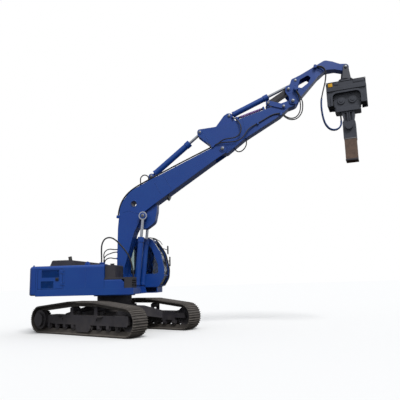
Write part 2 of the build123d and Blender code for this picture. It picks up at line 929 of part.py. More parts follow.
def cab_shell():
    """Cab frame and walls, with the windows, the windscreen and the door's opening cut."""
    solid = slab(outline(cab_side()), cab_inner, cab_outer) - cab_room()
    for points in side_windows():
        solid -= window(points, cab_inner - 10, cab_inner + cab_wall + 10)
    solid -= window(side_windows()[0], cab_outer - cab_wall - 10, cab_outer + 10)
    solid -= slab(door_outline(0), cab_outer - cab_wall - 10, cab_outer + 10)
    for cutter in screens():
        solid -= cutter
    for pin in hinge_pins(cab_hinge(), cab_outer, 1, cab_hinge_heights(), -1):
        solid += pin
    return solid


def cab_hinge():
    """X of the cab door's hinge line, in the gap at its rear edge."""
    return door_rear + door_gap / 2


def cab_hinge_heights():
    """Heights of the cab door's hinges."""
    low = deck_bottom + deck_height + 220
    high = deck_bottom + cab_height - 320
    return [low, (low + high) / 2, high]


def cab_glass():
    """Panes in the fixed windows."""
    panes = []
    for points in side_windows():
        panes.append(window(points, cab_inner + 15, cab_inner + 15 + glass_thickness))
    panes.append(window(side_windows()[0], cab_outer - 15 - glass_thickness, cab_outer - 15))
    face = outline(cab_side())
    skin = offset(face, -18) - offset(face, -18 - glass_thickness)
    skin = slab(skin, cab_inner + screen_edge, cab_outer - screen_edge)
    return solids_of(panes + [skin & cutter for cutter in screens()])


def cab_door():
    """Left door: frame and its two panes in one piece."""
    leaf = slab(door_outline(door_gap), cab_outer - door_thickness, cab_outer)
    hole = slab(door_outline(door_gap + 55), cab_outer - door_thickness + 8, cab_outer + 10)
    leaf -= hole
    for knuckle in hinge_knuckles(cab_hinge(), cab_outer, 1, cab_hinge_heights(), 1):
        leaf += knuckle
    return leaf


def operator_seat():
    """Seat on its box, with two consoles."""
    low = deck_bottom + deck_height + cab_wall
    middle = (cab_inner + cab_outer) / 2
    x = cab_rear + seat_place
    solid = block(x, x + 520, middle - 250, middle + 250, low, low + 330)
    solid += block(x + 30, x + 540, middle - 240, middle + 240, low + 330, low + 450)
    solid += block(x - 40, x + 80, middle - 230, middle + 230, low + 420, low + 1060)
    for side in (-1, 1):
        solid += block(x + 140, x + 700, middle + side * 270, middle + side * 360, low + 330, low + 600)
        solid += block(x + 140, x + 520, middle + side * 240, middle + side * 290, low + 200, low + 330)
    return solid


# Boom, cylinders, stick and tip arm


def boom_side():
    """Outline of the boom's box, as (x, z, corner radius)."""
    fx, fz = boom_foot
    px, pz = stick_pivot
    return [
        (fx - 125, fz - 120, 90), (fx - 90, fz + 1650, 1500), (fx - 10, fz + 2480, 900), (fx + 340,
        fz + 2950, 900),
        (fx + 970, fz + 3280, 900), (px - 120, pz + 170, 120), (px + 150, pz + 130, 140), (px + 140,
        pz - 120, 130),
        (px - 270, pz - 380, 150), (fx + 1220, fz + 2460, 500), (fx + 800, fz + 2160, 200), (fx + 650,
        fz + 1800, 400),
        (fx + 480, fz + 1480, 800), (fx + 150, fz + 300, 600), (fx + 125, fz - 120, 90)]


def boom():
    """Gooseneck boom: hollow box, foot boss, belly with the lift pin, fork ears and the bracket on top."""
    half = boom_width / 2
    px, pz = stick_pivot
    slot = stick_width / 2 + side_gap
    box = hollow(boom_side(), boom_width, boom_plate)
    face = outline(boom_side())
    # Fork at the nose: the box ends on a curved plate, and two thick ears go on
    box -= slab(Pos(px, pz) * Circle(fork_reach), -slot, slot)
    ring = face & (Pos(px, pz) * (Circle(fork_reach + boom_plate) - Circle(fork_reach)))
    box += slab(ring, -half + 1, half - 1)
    ear = face & (Pos(px, pz) * Circle(fork_reach + 1))
    for side in (-1, 1):
        box += slab(ear, side * slot, side * half)
        box += across(stick_pivot, boss_radius, side * slot, side * (half + fork_boss))
    head = half + fork_boss + pin_head
    box += across(stick_pivot, pin_radius, -head, head)
    # Foot boss between the frame's rails, on the foot pin
    foot = rail_gap / 2 - side_gap
    box += across(boom_foot, boom_foot_radius, -foot, foot)
    box -= across(boom_foot, pin_radius + pin_play, -foot - 50, foot + 50)
    # Pipe sleeve through both sides at the bend
    box += across(bend_hole, bend_hole_radius + boom_plate, -half - bend_ring, half + bend_ring)
    box -= across(bend_hole, bend_hole_radius, -half - bend_ring - 1, half + bend_ring + 1)
    # Belly that carries the lift pin outside the box
    dx, dz = lift_eye
    belly = outline([
        (dx - 250, dz + 100, 50), (dx - 240, dz - 400, 60), (dx + 60, dz - 430, 200), (dx + 360,
        dz - 220, 250),
        (dx + 440, dz + 180, 200), (dx + 450, dz + 440, 50), (dx, dz + 500, 50)])
    box += slab(belly, -belly_width / 2, belly_width / 2)
    boss_out = lift_y - lift_eye_width / 2 - side_gap
    cap = lift_y + lift_eye_width / 2 + side_gap
    box += across(lift_eye, boss_radius, -boss_out, boss_out)
    box += across(lift_eye, pin_radius, -cap, cap)
    for side in (-1, 1):
        box += across(lift_eye, lift_cap_radius, side * cap, side * (cap + pin_head))
    # Bracket for the stick cylinder's base
    ex, ez = stick_base
    bracket = outline([
        (ex - 190, ez - 330, 0), (ex - 70, ez + 70, 90), (ex + 70, ez + 85, 90), (ex + 160, ez - 30, 60),
        (ex + 400, ez - 90, 0), (ex + 300, ez - 280, 0)])
    for side in (-1, 1):
        inner = eye_width / 2 + side_gap
        box += slab(bracket, side * inner, side * (inner + lug_plate))
    plate_out = eye_width / 2 + side_gap + lug_plate + pin_head
    box += across(stick_base, pin_radius, -plate_out, plate_out)
    # Blocks at both ends of the lines on top, and the hoses' fittings
    for place, ahead in ((line_start, -1), (line_end, 1)):
        corner = 1 if ahead < 0 else 5
        ends = [(x, z) for x, z, r in boom_side()[corner - (ahead > 0):corner + 2 - (ahead > 0)]]
        box += terminal(*ends, place, ahead, -half - line_block_outer, -half + line_block_inner)
    for node, end in (
            ("foot_hoses", -1), ("base_loops", 0), ("base_loops", -1), ("boom_lines", 0), ("boom_lines",
            -1),
            ("elbow_hoses", 0)):
        for piece in fittings(node, end):
            box += piece
    return box


def direction(start, end):
    """Length and angle, in degrees, of the line between two (x, z) points."""
    dx, dz = end[0] - start[0], end[1] - start[1]
    return math.hypot(dx, dz), math.degrees(math.atan2(dz, dx))


def along(start, end, y, radius, near, far):
    """Round bar on the line between two (x, z) points, from near to far of its length."""
    length, angle = direction(start, end)
    bar = Cylinder(radius, far - near, align=(Align.CENTER, Align.CENTER, Align.MIN))
    return Pos(start[0], y, start[1]) * Rot(0, 90 - angle, 0) * Pos(0, 0, near) * bar


def barrel(base, end, y, radius, rod_radius, length, eye_r, width):
    """Cylinder barrel with its base eye, head cap and the bore the rod runs in."""
    solid = across(base, eye_r, y - width / 2, y + width / 2)
    solid += along(base, end, y, width / 2 - neck_inset, eye_r / 2, barrel_start + 10)
    solid += along(base, end, y, radius, barrel_start, length)
    solid += along(base, end, y, radius + cap_growth, length - cap_length, length)
    solid += along(base, end, y, radius + cap_growth / 2, barrel_start, barrel_start + 70)
    solid -= along(base, end, y, rod_radius + rod_play, length - cap_length - 1, length + 1)
    solid -= along(base, end, y, radius - barrel_wall, barrel_start + 50, length - cap_length)
    solid -= across(base, pin_radius + pin_play, y - width, y + width)
    return solid


def rod(base, end, y, radius, barrel_radius, piston_at, eye_r, width, bore):
    """Chrome rod with its piston and the eye at its end."""
    length = direction(base, end)[0]
    solid = along(base, end, y, min(radius, width / 2 - neck_inset), piston_at, length - eye_r * 0.7)
    solid += along(base, end, y, barrel_radius - barrel_wall - 1, piston_at, piston_at + 60)
    solid += along(base, end, y, width / 2 - neck_inset, length - eye_r - 110, length - eye_r * 0.7)
    solid += across(end, eye_r, y - width / 2, y + width / 2)
    solid -= across(end, bore, y - width, y + width)
    return solid


def lift_barrels():
    """Both boom cylinders' barrels."""
    return solids_of([barrel(
        lift_foot, lift_eye, side * lift_y, lift_barrel_radius, lift_rod_radius, lift_barrel_length,
        lift_base_eye, lift_eye_width) for side in (-1, 1)])


def lift_rods():
    """Both boom cylinders' rods, with roomy eyes."""
    return solids_of([rod(
        lift_foot, lift_eye, side * lift_y, lift_rod_radius, lift_barrel_radius, lift_piston,
        lift_eye_radius, lift_eye_width, pin_radius + lift_eye_play) for side in (-1, 1)])


def stick_side():
    """Outline of the stick's box, as (x, z, corner radius)."""
    px, pz = stick_pivot
    hx, hz = stick_eye
    ax, az = tip_pivot
    return [
        (hx - 75, hz + 100, 80), (px - 250, pz + 840, 200), (px + 370, pz + 990, 400), (ax + 150,
        az + 130, 110),
        (ax + 140, az - 130, 120), (ax - 160, az - 230, 100), (ax - 430, az - 480, 300), (px + 800,
        pz + 345, 400),
        (px + 170, pz - 150, 150), (px - 120, pz - 160, 140), (px - 390, pz + 160, 200), (hx - 75,
        hz - 110, 80)]


def stick():
    """Stick: hollow box, pivot boss, rear lugs for the cylinder, top bracket and guide pin bosses."""
    half = stick_width / 2
    hx, hz = stick_eye
    box = hollow(stick_side(), stick_width, stick_plate)
    face = outline(stick_side())
    # Rear end opened between its plates for the cylinder's eye
    eye_half = eye_width / 2 + side_gap
    near_eye = Pos(hx, hz) * Circle(lug_reach)
    box -= slab(near_eye, -half + lug_wall, half - lug_wall)
    ring = face & (Pos(hx, hz) * (Circle(lug_reach + stick_plate) - Circle(lug_reach)))
    box += slab(ring, -half + 1, half - 1)
    lug = face & near_eye
    for side in (-1, 1):
        box += slab(lug, side * (half - lug_wall), side * half)
        box += across(stick_eye, lug_boss, side * (half - 1), side * (half + ear_boss))
    # Pivot tube
    box += across(stick_pivot, boss_radius, -half, half)
    box -= across(stick_pivot, pin_radius + pin_play, -half - 50, half + 50)
    # Bracket for the tip cylinder's base
    bx, bz = tip_base
    bracket = outline([
        (bx - 560, bz - 470, 0), (bx - 190, bz + 20, 90), (bx - 60, bz + 100, 90), (bx + 80, bz + 95, 90),
        (bx + 240, bz - 260, 0)])
    for side in (-1, 1):
        box += slab(bracket, side * eye_half, side * (eye_half + tie_plate))
    box += across(tip_base, pin_radius, -eye_half - tie_plate - pin_head, eye_half + tie_plate + pin_head)
    # Tube for the tip pin and the pin of the guide links
    box += across(tip_pivot, boss_radius, -half, half)
    box -= across(tip_pivot, pin_radius + pin_play, -half - 50, half + 50)
    link_out = half + side_gap + guide_plate + pin_head
    box += across(guide_pin, pin_radius, -link_out, link_out)
    # Hose blocks on the near side and on top, and the hoses' fittings
    for place, angle, length, height, y0, y1 in stick_blocks():
        box += slab(Pos(*place) * Rot(0, 0, angle) * Rectangle(length, height), y0, y1)
    for node, end in (("elbow_hoses", -1), ("stick_lines", 0), ("stick_lines", -1), ("tip_hoses", 0)):
        for piece in fittings(node, end):
            box += piece
    return box


def stick_blocks():
    """Hose blocks on the stick, as (middle, angle, length, height, y from, y to)."""
    half = stick_width / 2
    return [
        ((5220, 7036), 28, 60, 90, -half - 60, 1 - half),
        ((6040, 7325), 0, 60, 160, -half - 132, 1 - half),
        ((4494, 7269), 18, 60, 150, 10 - half, 110 - half),
        ((5464, 7582), 18, 60, 150, 10 - half, 110 - half)]


def tip_side():
    """Outline of the tip arm, as (x, z, corner radius)."""
    ax, az = tip_pivot
    tx, tz = tip_eye
    bx, bz = tie_pin
    yx, yz = yoke_pin
    return [
        (ax - 125, az - 125, 110), (ax + 140, az - 125, 120), (ax + 270, az + 120, 80), (yx - 990,
        yz - 320, 300),
        (yx - 690, yz - 75, 200), (yx - 370, yz - 60, 150), (yx - 120, yz - 125, 60), (yx + 115,
        yz - 120, 110),
        (yx + 115, yz + 115, 110), (yx - 180, yz + 135, 200), (yx - 430, yz + 235, 150), (yx - 710,
        yz + 290, 200),
        (yx - 1250, yz - 30, 200), (tx + 180, tz + 185, 100), (tx + 20, tz + 110, 70), (tx - 130,
        tz + 50, 50),
        (bx + 40, bz + 130, 40), (bx - 105, bz + 110, 80), (bx - 110, bz - 110, 80), (bx, bz - 280, 80)]


def plan_strip(rows):
    """Tall prism with half widths given along X as (x, half) rows."""
    near = [(x, -half) for x, half in rows]
    far = [(x, half) for x, half in reversed(rows)]
    return extrude(Plane.XY * make_face(Polyline(*near, *far, close=True)), amount=12000)


def tip_arm():
    """Gooseneck tip arm: two ears outside the stick, then a tapering box to the yoke pin."""
    half = tip_width / 2
    yx, yz = yoke_pin
    ax, az = tip_pivot
    tx, tz = tip_eye
    end_half = tip_end_width / 2
    face = outline(tip_side())
    taper = [(ax - 400, half), (yx - 1100, half), (yx - 300, end_half), (yx + 400, end_half)]
    plan = plan_strip(taper)
    room = plan_strip([(x, width - tip_plate) for x, width in taper])
    inner = offset(face, -tip_plate, kind=Kind.INTERSECTION)
    solid = (slab(face, -half, half) & plan) - (slab(inner, -half, half) & room)
    # Open ears round the stick's tip, the tie link and the cylinder's eye
    ears = outline([
        (ax - 400, az - 400, 0), (ax + 230, az - 400, 0), (ax + 230, az + 330, 60), (ax + 330, az + 700,
        60),
        (ax + 330, az + 1200, 0), (ax - 400, az + 1200, 0)])
    solid -= slab(ears, -half + tip_plate, half - tip_plate)
    # Rounded window in both side plates, behind the cylinder's eye
    opening = outline([
        (tx + 45, tz - 290, 60), (tx + 170, tz + 20, 60), (tx + 450, tz + 160, 60), (tx + 550, tz + 60, 60),
        (tx + 430, tz - 140, 100), (tx + 210, tz - 300, 60)])
    solid -= slab(opening, -half, half)
    solid += across(yoke_pin, boss_radius - 10, -end_half, end_half)
    solid -= across(yoke_pin, pin_radius + pin_play, -half, half)
    head = half + ear_boss + pin_head
    solid += across(tip_pivot, pin_radius, -head, head)
    for side in (-1, 1):
        solid += across(tie_pin, pin_radius, side * (tie_inner - 5), side * head)
        solid += across(tip_eye, 80, side * (eye_width / 2 + side_gap + 40), side * (half - 1))
        for pin, boss in ((tip_pivot, 110), (tie_pin, 90)):
            solid += across(pin, boss, side * (half - 1), side * (half + ear_boss))
    # Hose blocks on the near side, with the hoses' fittings
    solid += block(6550, 6690, -half - 140, 1 - half, 8145, 8260)
    solid += block(7290, 7375, -half - 115, 50 - half, 8920, 9030)
    for piece in fittings("tip_hoses", -1) + fittings("hammer_hose", 0):
        solid += piece
    return solid


def guide_links():
    """Pair of guide plates outside the stick, each with a stub for the tie link on its inner side."""
    length, angle = direction(guide_pin, shared_pin)
    inner = stick_width / 2 + side_gap
    plate = SlotCenterToCenter(length, guide_height)
    plate = Pos(*guide_pin) * Rot(0, 0, angle) * Pos(length / 2, 0) * plate
    made = []
    for side in (-1, 1):
        link = slab(plate, side * inner, side * (inner + guide_plate))
        link += across(shared_pin, shared_radius, side * tie_inner, side * (inner + guide_plate + pin_head))
        made.append(
            link - across(guide_pin, pin_radius + pin_play, side * inner, side * (inner + 2 * guide_plate)))
    return solids_of(made)


def tie_link():
    """Pair of tie plates from the shared pin to the tie pin, on both sides of the cylinder."""
    length, angle = direction(shared_pin, tie_pin)
    plate = SlotCenterToCenter(length, tie_height)
    plate = Pos(*shared_pin) * Rot(0, 0, angle) * Pos(length / 2, 0) * plate
    plate -= Pos(*tie_pin) * Circle(pin_radius + pin_play)
    plate -= Pos(*shared_pin) * Circle(shared_radius + shared_play)
    return solids_of([slab(plate, side * tie_inner, side * (tie_inner + tie_plate)) for side in (-1, 1)])


# Hoses


def hose_routes():
    """Node name to its hoses, each as (diameter, points)."""
    side, near, ear = -boom_width / 2, -stick_width / 2, -tip_width / 2
    loops = {
        "arch_hose": [(hose_large, [
            (-170, -950, 2256), (-170, -948, 2480), (-185, -945, 2720), (-165, -940, 2950), (-50, -930,
            3115),
            (150, -918, 3130), (330, -902, 3010), (490, -885, 2830), (650, -868, 2640), (780, -845, 2400),
            (850, -825, 2120), (882, -800, 1800), (882, -800, 1492)])],
        "foot_hoses": [
            (hose_small, [
                (-335, -140, 2256), (-335, -140, 2420), (-368, -142, 2600), (-305, -148, 2745),
                (-150, -155, 2805), (10, -160, 2775), (140, -160, 2775)]),
            (hose_small, [
                (-335, -200, 2256), (-335, -200, 2385), (-318, -205, 2520), (-205, -212, 2605),
                (-70, -218, 2645), (40, -220, 2680), (140, -220, 2680)]),
            (hose_small, [
                (-290, -260, 2256), (-290, -260, 2345), (-240, -268, 2435), (-150, -272, 2475),
                (-45, -275, 2485), (50, -275, 2455), (135, -275, 2455)])],
        "base_loops": [(hose_middle, [
            (984, -175, 5060), (976, -175, 5180), (981, -177, 5302), (1068, -180, 5390), (1192, -180, 5390),
            (1281, -175, 5302), (1284, -168, 5185)])],
        "elbow_hoses": [
            (hose_middle, [
                (3690, side + 33, 6309), (3825, side + 33, 6396), (4000, side - 50, 6490),
                (4200, side - 75, 6510), (4400, side - 70, 6520), (4560, side - 55, 6620),
                (4640, side - 35, 6800), (4620, near - 85, 7000), (4520, near - 47, 7185),
                (4410, near + 15, 7305), (4340, near + 90, 7345)]),
            (hose_middle, [
                (3690, side - 27, 6309), (3830, side - 43, 6360), (4010, side - 80, 6375),
                (4220, side - 100, 6365), (4440, side - 100, 6380), (4640, side - 80, 6470),
                (4770, side - 50, 6640), (4870, near - 90, 6810), (5020, near - 50, 6930),
                (5190, near - 25, 7020)])],
        "stick_lines": [
            (hose_middle, [
                (5250, near - 25, 7052), (5450, near - 25, 7160), (5650, near - 25, 7275),
                (5840, near - 25, 7352), (6010, near - 25, 7352)]),
            (bundle_size, [
                (4560, near + 65, 7315), (4850, near + 65, 7405), (5140, near + 65, 7500),
                (5420, near + 65, 7592)]),
            (hose_middle, [
                (4800, near + 125, 6505), (4803, near + 125, 6390), (4775, near + 125, 6270),
                (4700, near + 127, 6165), (4600, near + 129, 6090), (4490, near + 130, 6080),
                (4410, near + 130, 6133), (4370, near + 130, 6197)])],
        "tip_hoses": [(hose_middle, [
            (6090, near - 47 - step, 7345 - drop), (6190, ear - 52 - step, 7210 - drop),
            (6370, ear - 62 - step, 7110 - drop), (6560 + drop / 2, ear - 62 - step, 7140 - drop),
            (6690 + drop, ear - 62 - step, 7300 - drop / 2), (6740 + drop, ear - 62 - step, 7500),
            (6735 + drop, ear - 62 - step, 7720), (6690 + drop / 2, ear - 60 - step, 7930),
            (6620, ear - 52 - step, 8115)]) for step, drop in ((0, 0), (52, 70))],
        "hammer_hose": [(hose_middle, [
            (7395, y, 8975), (7507, y, 8975), (7605, y, 8923), (7669, y, 8832), (7687, y, 8722),
            (7680, y, 8600), (7655, y, 8440), (7614, y, 8280), (7560, y, 8100)]) for y in (ear - 80,
            ear - 12)],
        "hammer_hose_end": [(hose_middle, [
            (7560, y, 8100), (7479, y, 7830), (7448, y + 20, 7530), (7468, y + 45, 7230), (7510, y + 75,
            7000),
            (7580, y + 105, 6818), (7738, y + 145, 6660), (7962, y + 185, 6665), (8118, y + 220, 6820),
            (8135, y + 245, 7045), (8125, y + 250, 7262)]) for y in (ear - 80, ear - 12)],
    }
    loops["boom_lines"] = [(hose_small, boom_line(y)) for y in (side + 47, side + 3)]
    return loops


def boom_line(y):
    """Route of a line along the boom's back and top, held off its plate."""
    stand = line_stand + hose_small / 2
    corners = [(x, z) for x, z, radius in boom_side()[1:6]]
    normals = []
    for (ax, az), (bx, bz) in zip(corners, corners[1:]):
        angle = math.atan2(bz - az, bx - ax) + math.pi / 2
        normals.append((math.cos(angle), math.sin(angle)))
    points = [off_plate(corners[0], corners[1], line_start, normals[0], stand, y)]
    for (x, z), (ax, az), (bx, bz) in zip(corners[1:-1], normals, normals[1:]):
        share = stand / (1 + ax * bx + az * bz)
        points.append((x + share * (ax + bx), y, z + share * (az + bz)))
    for share, bow in line_bows + ((line_end, 0),):
        points.append(off_plate(corners[-2], corners[-1], share, normals[-1], stand + bow, y))
    return points


def off_plate(start, end, share, normal, stand, y):
    """Point at a share of the way between two corners, held off by stand."""
    x = start[0] + (end[0] - start[0]) * share + normal[0] * stand
    z = start[1] + (end[1] - start[1]) * share + normal[1] * stand
    return (x, y, z)


def hose_radii(points):
    """Arc radius at each inner point: as large as its two runs allow."""
    radii = []
    for before, point, after in zip(points, points[1:], points[2:]):
        arriving, leaving = Vector(*point) - Vector(*before), Vector(*after) - Vector(*point)
        half_turn = math.radians(arriving.get_angle(leaving)) / 2
        radii.append(0.45 * min(arriving.length, leaving.length) / math.tan(half_turn))
    return radii


def hose(diameter, points):
    """Plain tube along a route."""
    path = FilletPolyline(*points, radius=hose_radii(points))
    tube = sweep(Plane(path @ 0, z_dir=path % 0) * Circle(diameter / 2), path=path)
    print("hose", round(path.length), "mm, least radius", round(min(hose_radii(points))),
          "volume share", round(tube.volume / (path.length * math.pi * diameter ** 2 / 4), 4))
    return tube


def fittings(node, end):
    """Round fittings on what carries a node's hoses, at the start (end = 0) or the end (end = -1)."""
    made = []
    for diameter, points in hose_routes()[node]:
        beside = points[1] if end == 0 else points[-2]
        away = Vector(*points[end]) - Vector(*beside)
        face = Plane(points[end], z_dir=away)
        size = diameter / 2 + fitting_growth
        made.append(face * Cylinder(size, fitting_length, align=(Align.CENTER, Align.CENTER, Align.MIN)))
    return made


def terminal(start, end, share, ahead, y_from, y_to):
    """Hose block on a plate between two corners, before (ahead = -1) or after a share of the way."""
    length, angle = direction(start, end)
    high = line_stand + hose_small + boom_plate
    place = Pos(*start) * Rot(0, 0, angle) * Pos(length * share, 0)
    face = Rectangle(line_block_length, high + boom_plate)
    return slab(place * Pos(ahead * (line_block_length / 2 + 10), high / 2) * face, y_from, y_to)


# Hammer


def yoke():
    """Two A-shaped plates on the yoke pin, over a round base plate."""
    yx, yz = yoke_pin
    base_low = hood_top + rotator_height + seat_gap
    foot = base_low + yoke_base / 2
    inner = tip_end_width / 2 + side_gap
    outer = inner + yoke_plate
    plate = outline([
        (yx - yoke_half, foot, 0), (yx - 80, yz + 85, 70), (yx + 80, yz + 85, 70), (yx + yoke_half, foot,
        0)])
    solid = Pos(yx, 0, base_low) * Cylinder(
        rotator_radius, yoke_base, align=(Align.CENTER, Align.CENTER, Align.MIN))
    for side in (-1, 1):
        solid += slab(plate, side * inner, side * outer)
    solid += across(yoke_pin, pin_radius, -outer - pin_head, outer + pin_head)
    return solid


def rotator():
    """Slewing ring under the yoke, fixed on the hood."""
    ring = Cylinder(rotator_radius - 30, rotator_height, align=(Align.CENTER, Align.CENTER, Align.MIN))
    return Pos(hammer_x, 0, hood_top) * ring


def hammer_box(x0, x1, y0, y1, z0, z1):
    """Box in the hammer's own frame, x and y counted from its axis."""
    return block(hammer_x + x0, hammer_x + x1, y0, y1, z0, z1)


def hammer_hood():
    """Suspension hood: plates round the exciter, with a beam and an arch on both faces, open below."""
    half_x, half_y = hood_length / 2, hood_width / 2
    low = hood_top - hood_height_side
    face = outline([
        (hammer_x - half_x, low, 20), (hammer_x - half_x, hood_top - 60, 60), (hammer_x - half_x + 60,
        hood_top, 60),
        (hammer_x + half_x - 60, hood_top, 60), (hammer_x + half_x, hood_top - 60, 60),
        (hammer_x + half_x, low, 20)])
    shell = slab(face, -half_y, half_y)
    shell -= hammer_box(
        -half_x + hood_plate, half_x - hood_plate, -half_y + hood_plate, half_y - hood_plate,
        low - 1, hood_top - hood_plate)
    arch = outline([
        (hammer_x - arch_half, low - 10, 0), (hammer_x - arch_half, low + arch_height, 160),
        (hammer_x + arch_half, low + arch_height, 160), (hammer_x + arch_half, low - 10, 0)])
    shell -= slab(arch, -half_y - 10, half_y + 10)
    ring = offset(arch, arch_rim) - arch
    ring = ring & (Pos(hammer_x, low + arch_height) * Rectangle(hood_length, 2 * arch_height))
    beam_low = low + arch_height + arch_rim + 20
    for side in (-1, 1):
        shell += slab(ring, side * (half_y - 1), side * (half_y + arch_proud))
        shell += hammer_box(
            -half_x + 20, half_x - 20, side * (half_y - 1), side * (half_y + beam_proud),
            beam_low, beam_low + beam_height)
    return shell


def exciter():
    """Exciter case with round bearing covers on both faces and the flange that takes the clamp."""
    half_x, half_y = exciter_length / 2, exciter_width / 2
    case = hammer_box(-half_x, half_x, -half_y, half_y, exciter_top - exciter_height, exciter_top)
    case = chamfer(case.edges().filter_by(Axis.Y), 90)
    middle = exciter_top - exciter_height / 2
    for x in (-cover_spacing, cover_spacing):
        case += across((hammer_x + x, middle), cover_radius, -half_y - 35, half_y + 35)
        case += across((hammer_x + x, middle), cover_radius / 2, -half_y - 50, half_y + 50)
    flange = hammer_box(
        -half_x + 10, half_x - 10, -half_y - 40, half_y + 40, clamp_top - 120,
        exciter_top - exciter_height + 20)
    case += chamfer(flange.edges().filter_by(Axis.Z), 50)
    for piece in fittings("hammer_hose_end", -1):
        case += turned(piece, -hammer_turn, (hammer_x, 0))
    return case


def shock_pads():
    """Rubber blocks between the exciter's ends and the hood's side plates."""
    made = []
    inner = exciter_length / 2
    outer = hood_length / 2 - hood_plate
    for side in (-1, 1):
        for z in (exciter_top - 330, exciter_top - 130):
            for y in (-110, 110):
                made.append(hammer_box(side * inner, side * outer, y - 85, y + 85, z - 75, z + 75))
    return solids_of(made)


def clamp_body():
    """Clamp under the exciter: necked cheeks, head with the jaw's slot, and the round cylinder cover."""
    half = clamp_width / 2
    top = clamp_top - 120
    side = outline([
        (hammer_x - half, top, 0), (hammer_x - half, top - 60, 30), (hammer_x - half + 45,
        neck_low + 120, 60),
        (hammer_x - half, neck_low, 40), (hammer_x - half, clamp_bottom, 0), (hammer_x + half,
        clamp_bottom, 0),
        (hammer_x + half, neck_low, 40), (hammer_x + half - 45, neck_low + 120, 60),
        (hammer_x + half, top - 60, 30), (hammer_x + half, top, 0)])
    solid = slab(side, -half + 30, half - 30)
    for x in (-neck_pocket, neck_pocket):
        for end in (-1, 1):
            solid -= hammer_box(
                x - 40, x + 40, end * (half - 90), end * (half - 29), neck_low + 60, top - 50)
    cover = (hammer_x, neck_low - cover_radius - 10)
    solid += across(cover, cover_radius, -half - 60, half - 40)
    solid -= hammer_box(-90, 95, -jaw_half, jaw_half, clamp_bottom - 1, clamp_bottom + 330)
    return solid


def clamp_jaw():
    """Moving jaw in the clamp's slot."""
    half = jaw_half - seat_gap
    return hammer_box(-85, -25, -half, half, clamp_bottom + 15, clamp_bottom + 320)


def pile_sleeve():
    """Square steel sleeve under the clamp, open below."""
    half = sleeve_outer / 2
    inner = half - sleeve_wall
    solid = hammer_box(-half, half, -half, half, sleeve_bottom, clamp_bottom)
    solid -= hammer_box(-inner, inner, -inner, inner, sleeve_bottom - 1, clamp_bottom - sleeve_head)
    return solid


def make_parts():
    """All named pieces of the rig."""
    parts = {}
    under = {
        "car_body": car_body(),
        "slew_ring": slew_ring(),
    }
    for name, side in (("right", -1), ("left", 1)):
        under["track_" + name] = track(side)
        under["idler_" + name] = idler(side)
        under["sprocket_" + name] = sprocket(side)
        under["rollers_" + name] = rollers(side)
        under["track_frame_" + name] = frame_fittings(side, track_frame(side))
        parts["housing_" + name] = housing(side)
        parts["door_" + name] = side_door(side)
    for name, shape in under.items():
        parts[name] = turned(shape, track_turn)
    parts["revolving_frame"] = revolving_frame()
    parts["counterweight"] = counterweight()
    parts["engine_block"] = engine_block()
    parts["engine_roof"] = engine_roof()
    parts["engine_hood"] = engine_hood()
    parts["exhaust"] = exhaust()
    parts["front_box"] = front_box()
    parts["front_step"] = front_step()
    parts["tank"] = tank()
    parts["cab_shell"] = cab_shell()
    parts["cab_glass"] = cab_glass()
    parts["cab_door"] = cab_door()
    parts["operator_seat"] = operator_seat()
    parts["boom"] = boom()
    parts["lift_barrels"] = lift_barrels()
    parts["lift_rods"] = lift_rods()
    parts["stick"] = stick()
    parts["stick_barrel"] = barrel(
        stick_base, stick_eye, 0, stick_barrel_radius, stick_rod_radius, stick_barrel_length, eye_radius,
        eye_width)
    parts["stick_rod"] = rod(
        stick_base, stick_eye, 0, stick_rod_radius, stick_barrel_radius, stick_piston, eye_radius,
        eye_width, pin_radius)
    parts["tip_arm"] = tip_arm()
    parts["tip_barrel"] = barrel(
        tip_base, tip_eye, 0, tip_barrel_radius, tip_rod_radius, tip_barrel_length, eye_radius, eye_width)
    parts["tip_rod"] = rod(
        tip_base, tip_eye, 0, tip_rod_radius, tip_barrel_radius, tip_piston, eye_radius, eye_width,
        pin_radius)
    parts["guide_links"] = guide_links()
    parts["tie_link"] = tie_link()
    parts["yoke"] = yoke()
    hammer = {
        "rotator": rotator(),
        "hammer_hood": hammer_hood(),
        "exciter": exciter(),
        "shock_pads": shock_pads(),
        "clamp_body": clamp_body(),
        "clamp_jaw": clamp_jaw(),
        "pile_sleeve": pile_sleeve(),
    }
    for name, shape in hammer.items():
        parts[name] = turned(shape, hammer_turn, (hammer_x, 0))
    for name, hoses in hose_routes().items():
        parts[name] = solids_of([hose(diameter, points) for diameter, points in hoses])
    return parts


def main():
    os.makedirs("parts", exist_ok=True)
    for name, shape in make_parts().items():
        export_step(shape, os.path.join("parts", name + ".step"))


main()
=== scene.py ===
import json
import math

import bmesh
import bpy
from mathutils import Matrix, Vector

